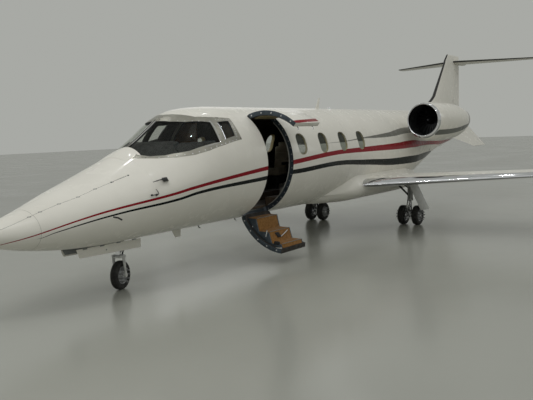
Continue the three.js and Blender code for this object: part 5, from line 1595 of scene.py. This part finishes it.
def makeProbes():
    v = fittingValues
    out = skinNormal(2400, 1600)
    body = slab('body', [hullAt(s, z, -1, -4) for s, z in v['probe']], out * 0.055 + Vector((-0.05, 0, 0)),
        0.006)
    wear(body, 'dark steel', 'dark_panel').name = 'probe_body_left'
    hand(twin(body, 'probe_body_right', True), 'airframe', 'dark_panel')
    start = hullAt(2350, 1603) + out * 0.045
    rod = tube([start + Vector((0.02, 0, 0)), start - Vector((0.08, 0, 0.008)),
        start - Vector((0.19, 0, 0.024))], [0.011, 0.008, 0.005], 12)
    low = skinNormal(2200, 1430)
    vane = tube([hullAt(s, z) + low * 0.022 for s, z in v['vane']], [0.006, 0.006, 0.006, 0.005, 0.004], 10)
    foot = hullAt(2190, 1420)
    stub = tube([foot - low * 0.006, foot + low * 0.026], [0.018, 0.012], 16)
    ball = hullAt(2110, 1420) + low * 0.022
    nub = tube([ball - Vector((0.014, 0, 0)), ball + Vector((0.014, 0, 0))], 0.012, 12)
    layPair('air_data_probes', [rod, vane, stub, nub], 'dark steel', 'bare_metal')


def makeNoseSeams():
    v = fittingValues
    ports = []
    for station, z, r in v['ports']:
        spot, normal = hullAt(station, z), skinNormal(station, z)
        ports.append(tube([spot - normal * 0.01, spot + normal * 0.001, spot + normal * 0.0025],
            [r, r, r * 0.8], 20))
    layPair('skin_ports', ports, 'dark steel', 'bare_metal')
    seams = [seam(v['slot'], 0.012, -4, step=20), seam(v['hatch'], 0.0016, 0), seam(v['bay'], 0.0016, -0.4)]
    layPair('nose_seams', seams, 'panel black', 'dark_panel')


def makeGlassEdges():  # fasteners, retainers and the centre post's seal
    v = fittingValues
    heads = []
    for station, z in rivetLine():
        spot, normal = hullAt(station, z, -1, 3.2), skinNormal(station, z)
        heads.append(tube([spot, spot + normal * 0.003], [0.011, 0.007], 8))
    # the pale lens finish paints the glints seen on the fastener heads
    layPair('surround_fasteners_painted_glint', heads, 'clear lens', 'bare_metal')
    beads = [seam(v['foreBead'], 0.0055, 5, step=14), seam(v['aftBead'], 0.0045, 4, step=8)]
    post = [at(s, -27, readTable(hullRows, s, 1) - 1) for s in spaced(2540, 3060, 60)]
    beads.append(tube(post, 0.005, 8))
    layPair('glass_retainers', beads, 'chrome', 'bare_metal')
    gasket = [at(s, y, readTable(hullRows, s, 1) + lift) for s, y, lift in v['gasket']]
    lay('centre_post_seal', [tube(gasket, 0.0055, 8)], 'panel black', 'dark_panel')


def makeWindscreenFoot():  # the low white hump at the foot of the windscreen
    rings = []
    for u in (i / 18 for i in range(19)):
        ring = []
        for v in (j / 24 for j in range(25)):
            swell = (max(0, math.sin(math.pi * u)) * max(0, math.sin(math.pi * v))) ** 0.55
            reach = 2130 + 345 * u - 60 * u * (2 * v - 1) ** 2
            ring.append(hullPoint(reach, math.radians(63 + 54 * v), 6 - 30 * swell))
        rings.append(ring)
    hump = loft('windscreen_foot', rings, False, True)
    modify(hump, 'SOLIDIFY', thickness=0.004, offset=-1)
    wear(hump, 'plain paint', 'paint_white', angle=60)


def bladeAerial(station, z, chord, tip, tall, lean):
    rings = []
    for t in (k / 4 for k in range(5)):
        size = chord + (tip - chord) * t
        rings.append(sectionRing(at(station + lean * t, 0, z + tall * t), size, 22 * (1 - 0.5 * t),
            Vector((0, 1, 0)), True))
    return loft('blade', rings)


def makeAerials():
    lay('blade_aerials', [bladeAerial(7880, 2692, 150, 62, 238, 150),
        bladeAerial(3300, 745, 230, 130, -150, 90)], 'plain paint', 'paint_white')
    dome = turned('dome', [(-0.02, 0), (-0.02, 0.05), (0.0, 0.05), (0.02, 0.044), (0.036, 0.026), (0.04, 0)],
        at(8480, 0, 2700), (0, 0, 1), 32)
    wear(dome, 'clear lens', 'bare_metal')
    keels = [(s, readTable(hullRows, s, 2)) for s in fittingValues['drains']]
    drains = bars((0, 40), *[(((s, 0, keel + 8), (s + 20, 0, keel - 60), (s + 60, 0, keel - 72)),
        (0.012, 0.009, 0.007), 10) for s, keel in keels])
    lay('drain_masts', drains, 'brushed frame', 'bare_metal')


def makeLatches():
    latches = []
    for station, z in fittingValues['bay'][1:7]:
        spot, normal = hullAt(station, z), skinNormal(station, z)
        along = (hullAt(station + 40, z) - spot).normalized()
        up = normal.cross(along).normalized()
        corners = [spot + along * a + up * b - normal * 0.002 for a,
            b in ((-0.024, -0.007), (0.024, -0.007), (0.024, 0.007), (-0.024, 0.007))]
        latches.append(slab('latch', corners, normal * 0.004, 0.001, 1))
    layPair('bay_latches', latches, 'brushed frame', 'bare_metal')


def rivetLine():  # stations and heights of the fasteners round the flight deck glass, whose pale heads paint the glints on them
    rows = []
    for (s0, z0), (s1, z1), count in (((2560, 1922), (3040, 1955), 4), ((3040, 1955), (3600, 2066), 5),
            ((3600, 2066), (4060, 2146), 5), ((4015, 2185), (4098, 2440), 7), ((4098, 2456), (3740, 2462), 6),
            ((3650, 2434), (3300, 2450), 4), ((3300, 2450), (3090, 2482), 3)):
        rows += [(s0 + (s1 - s0) * k / count, z0 + (z1 - z0) * k / count) for k in range(count)]
    return rows


for make in (makeProbes, makeNoseSeams, makeGlassEdges, makeWindscreenFoot, makeAerials, makeLatches):
    make()
print('fittings ready')


# CAD nodes that stay, with their own finishes
kept = {
    'cabin_floor': 'floor carpet', 'flight_deck_divider': 'wood veneer',
}
for name, finish in kept.items():
    dress(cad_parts[name], use[finish])

print('whole jet ready')
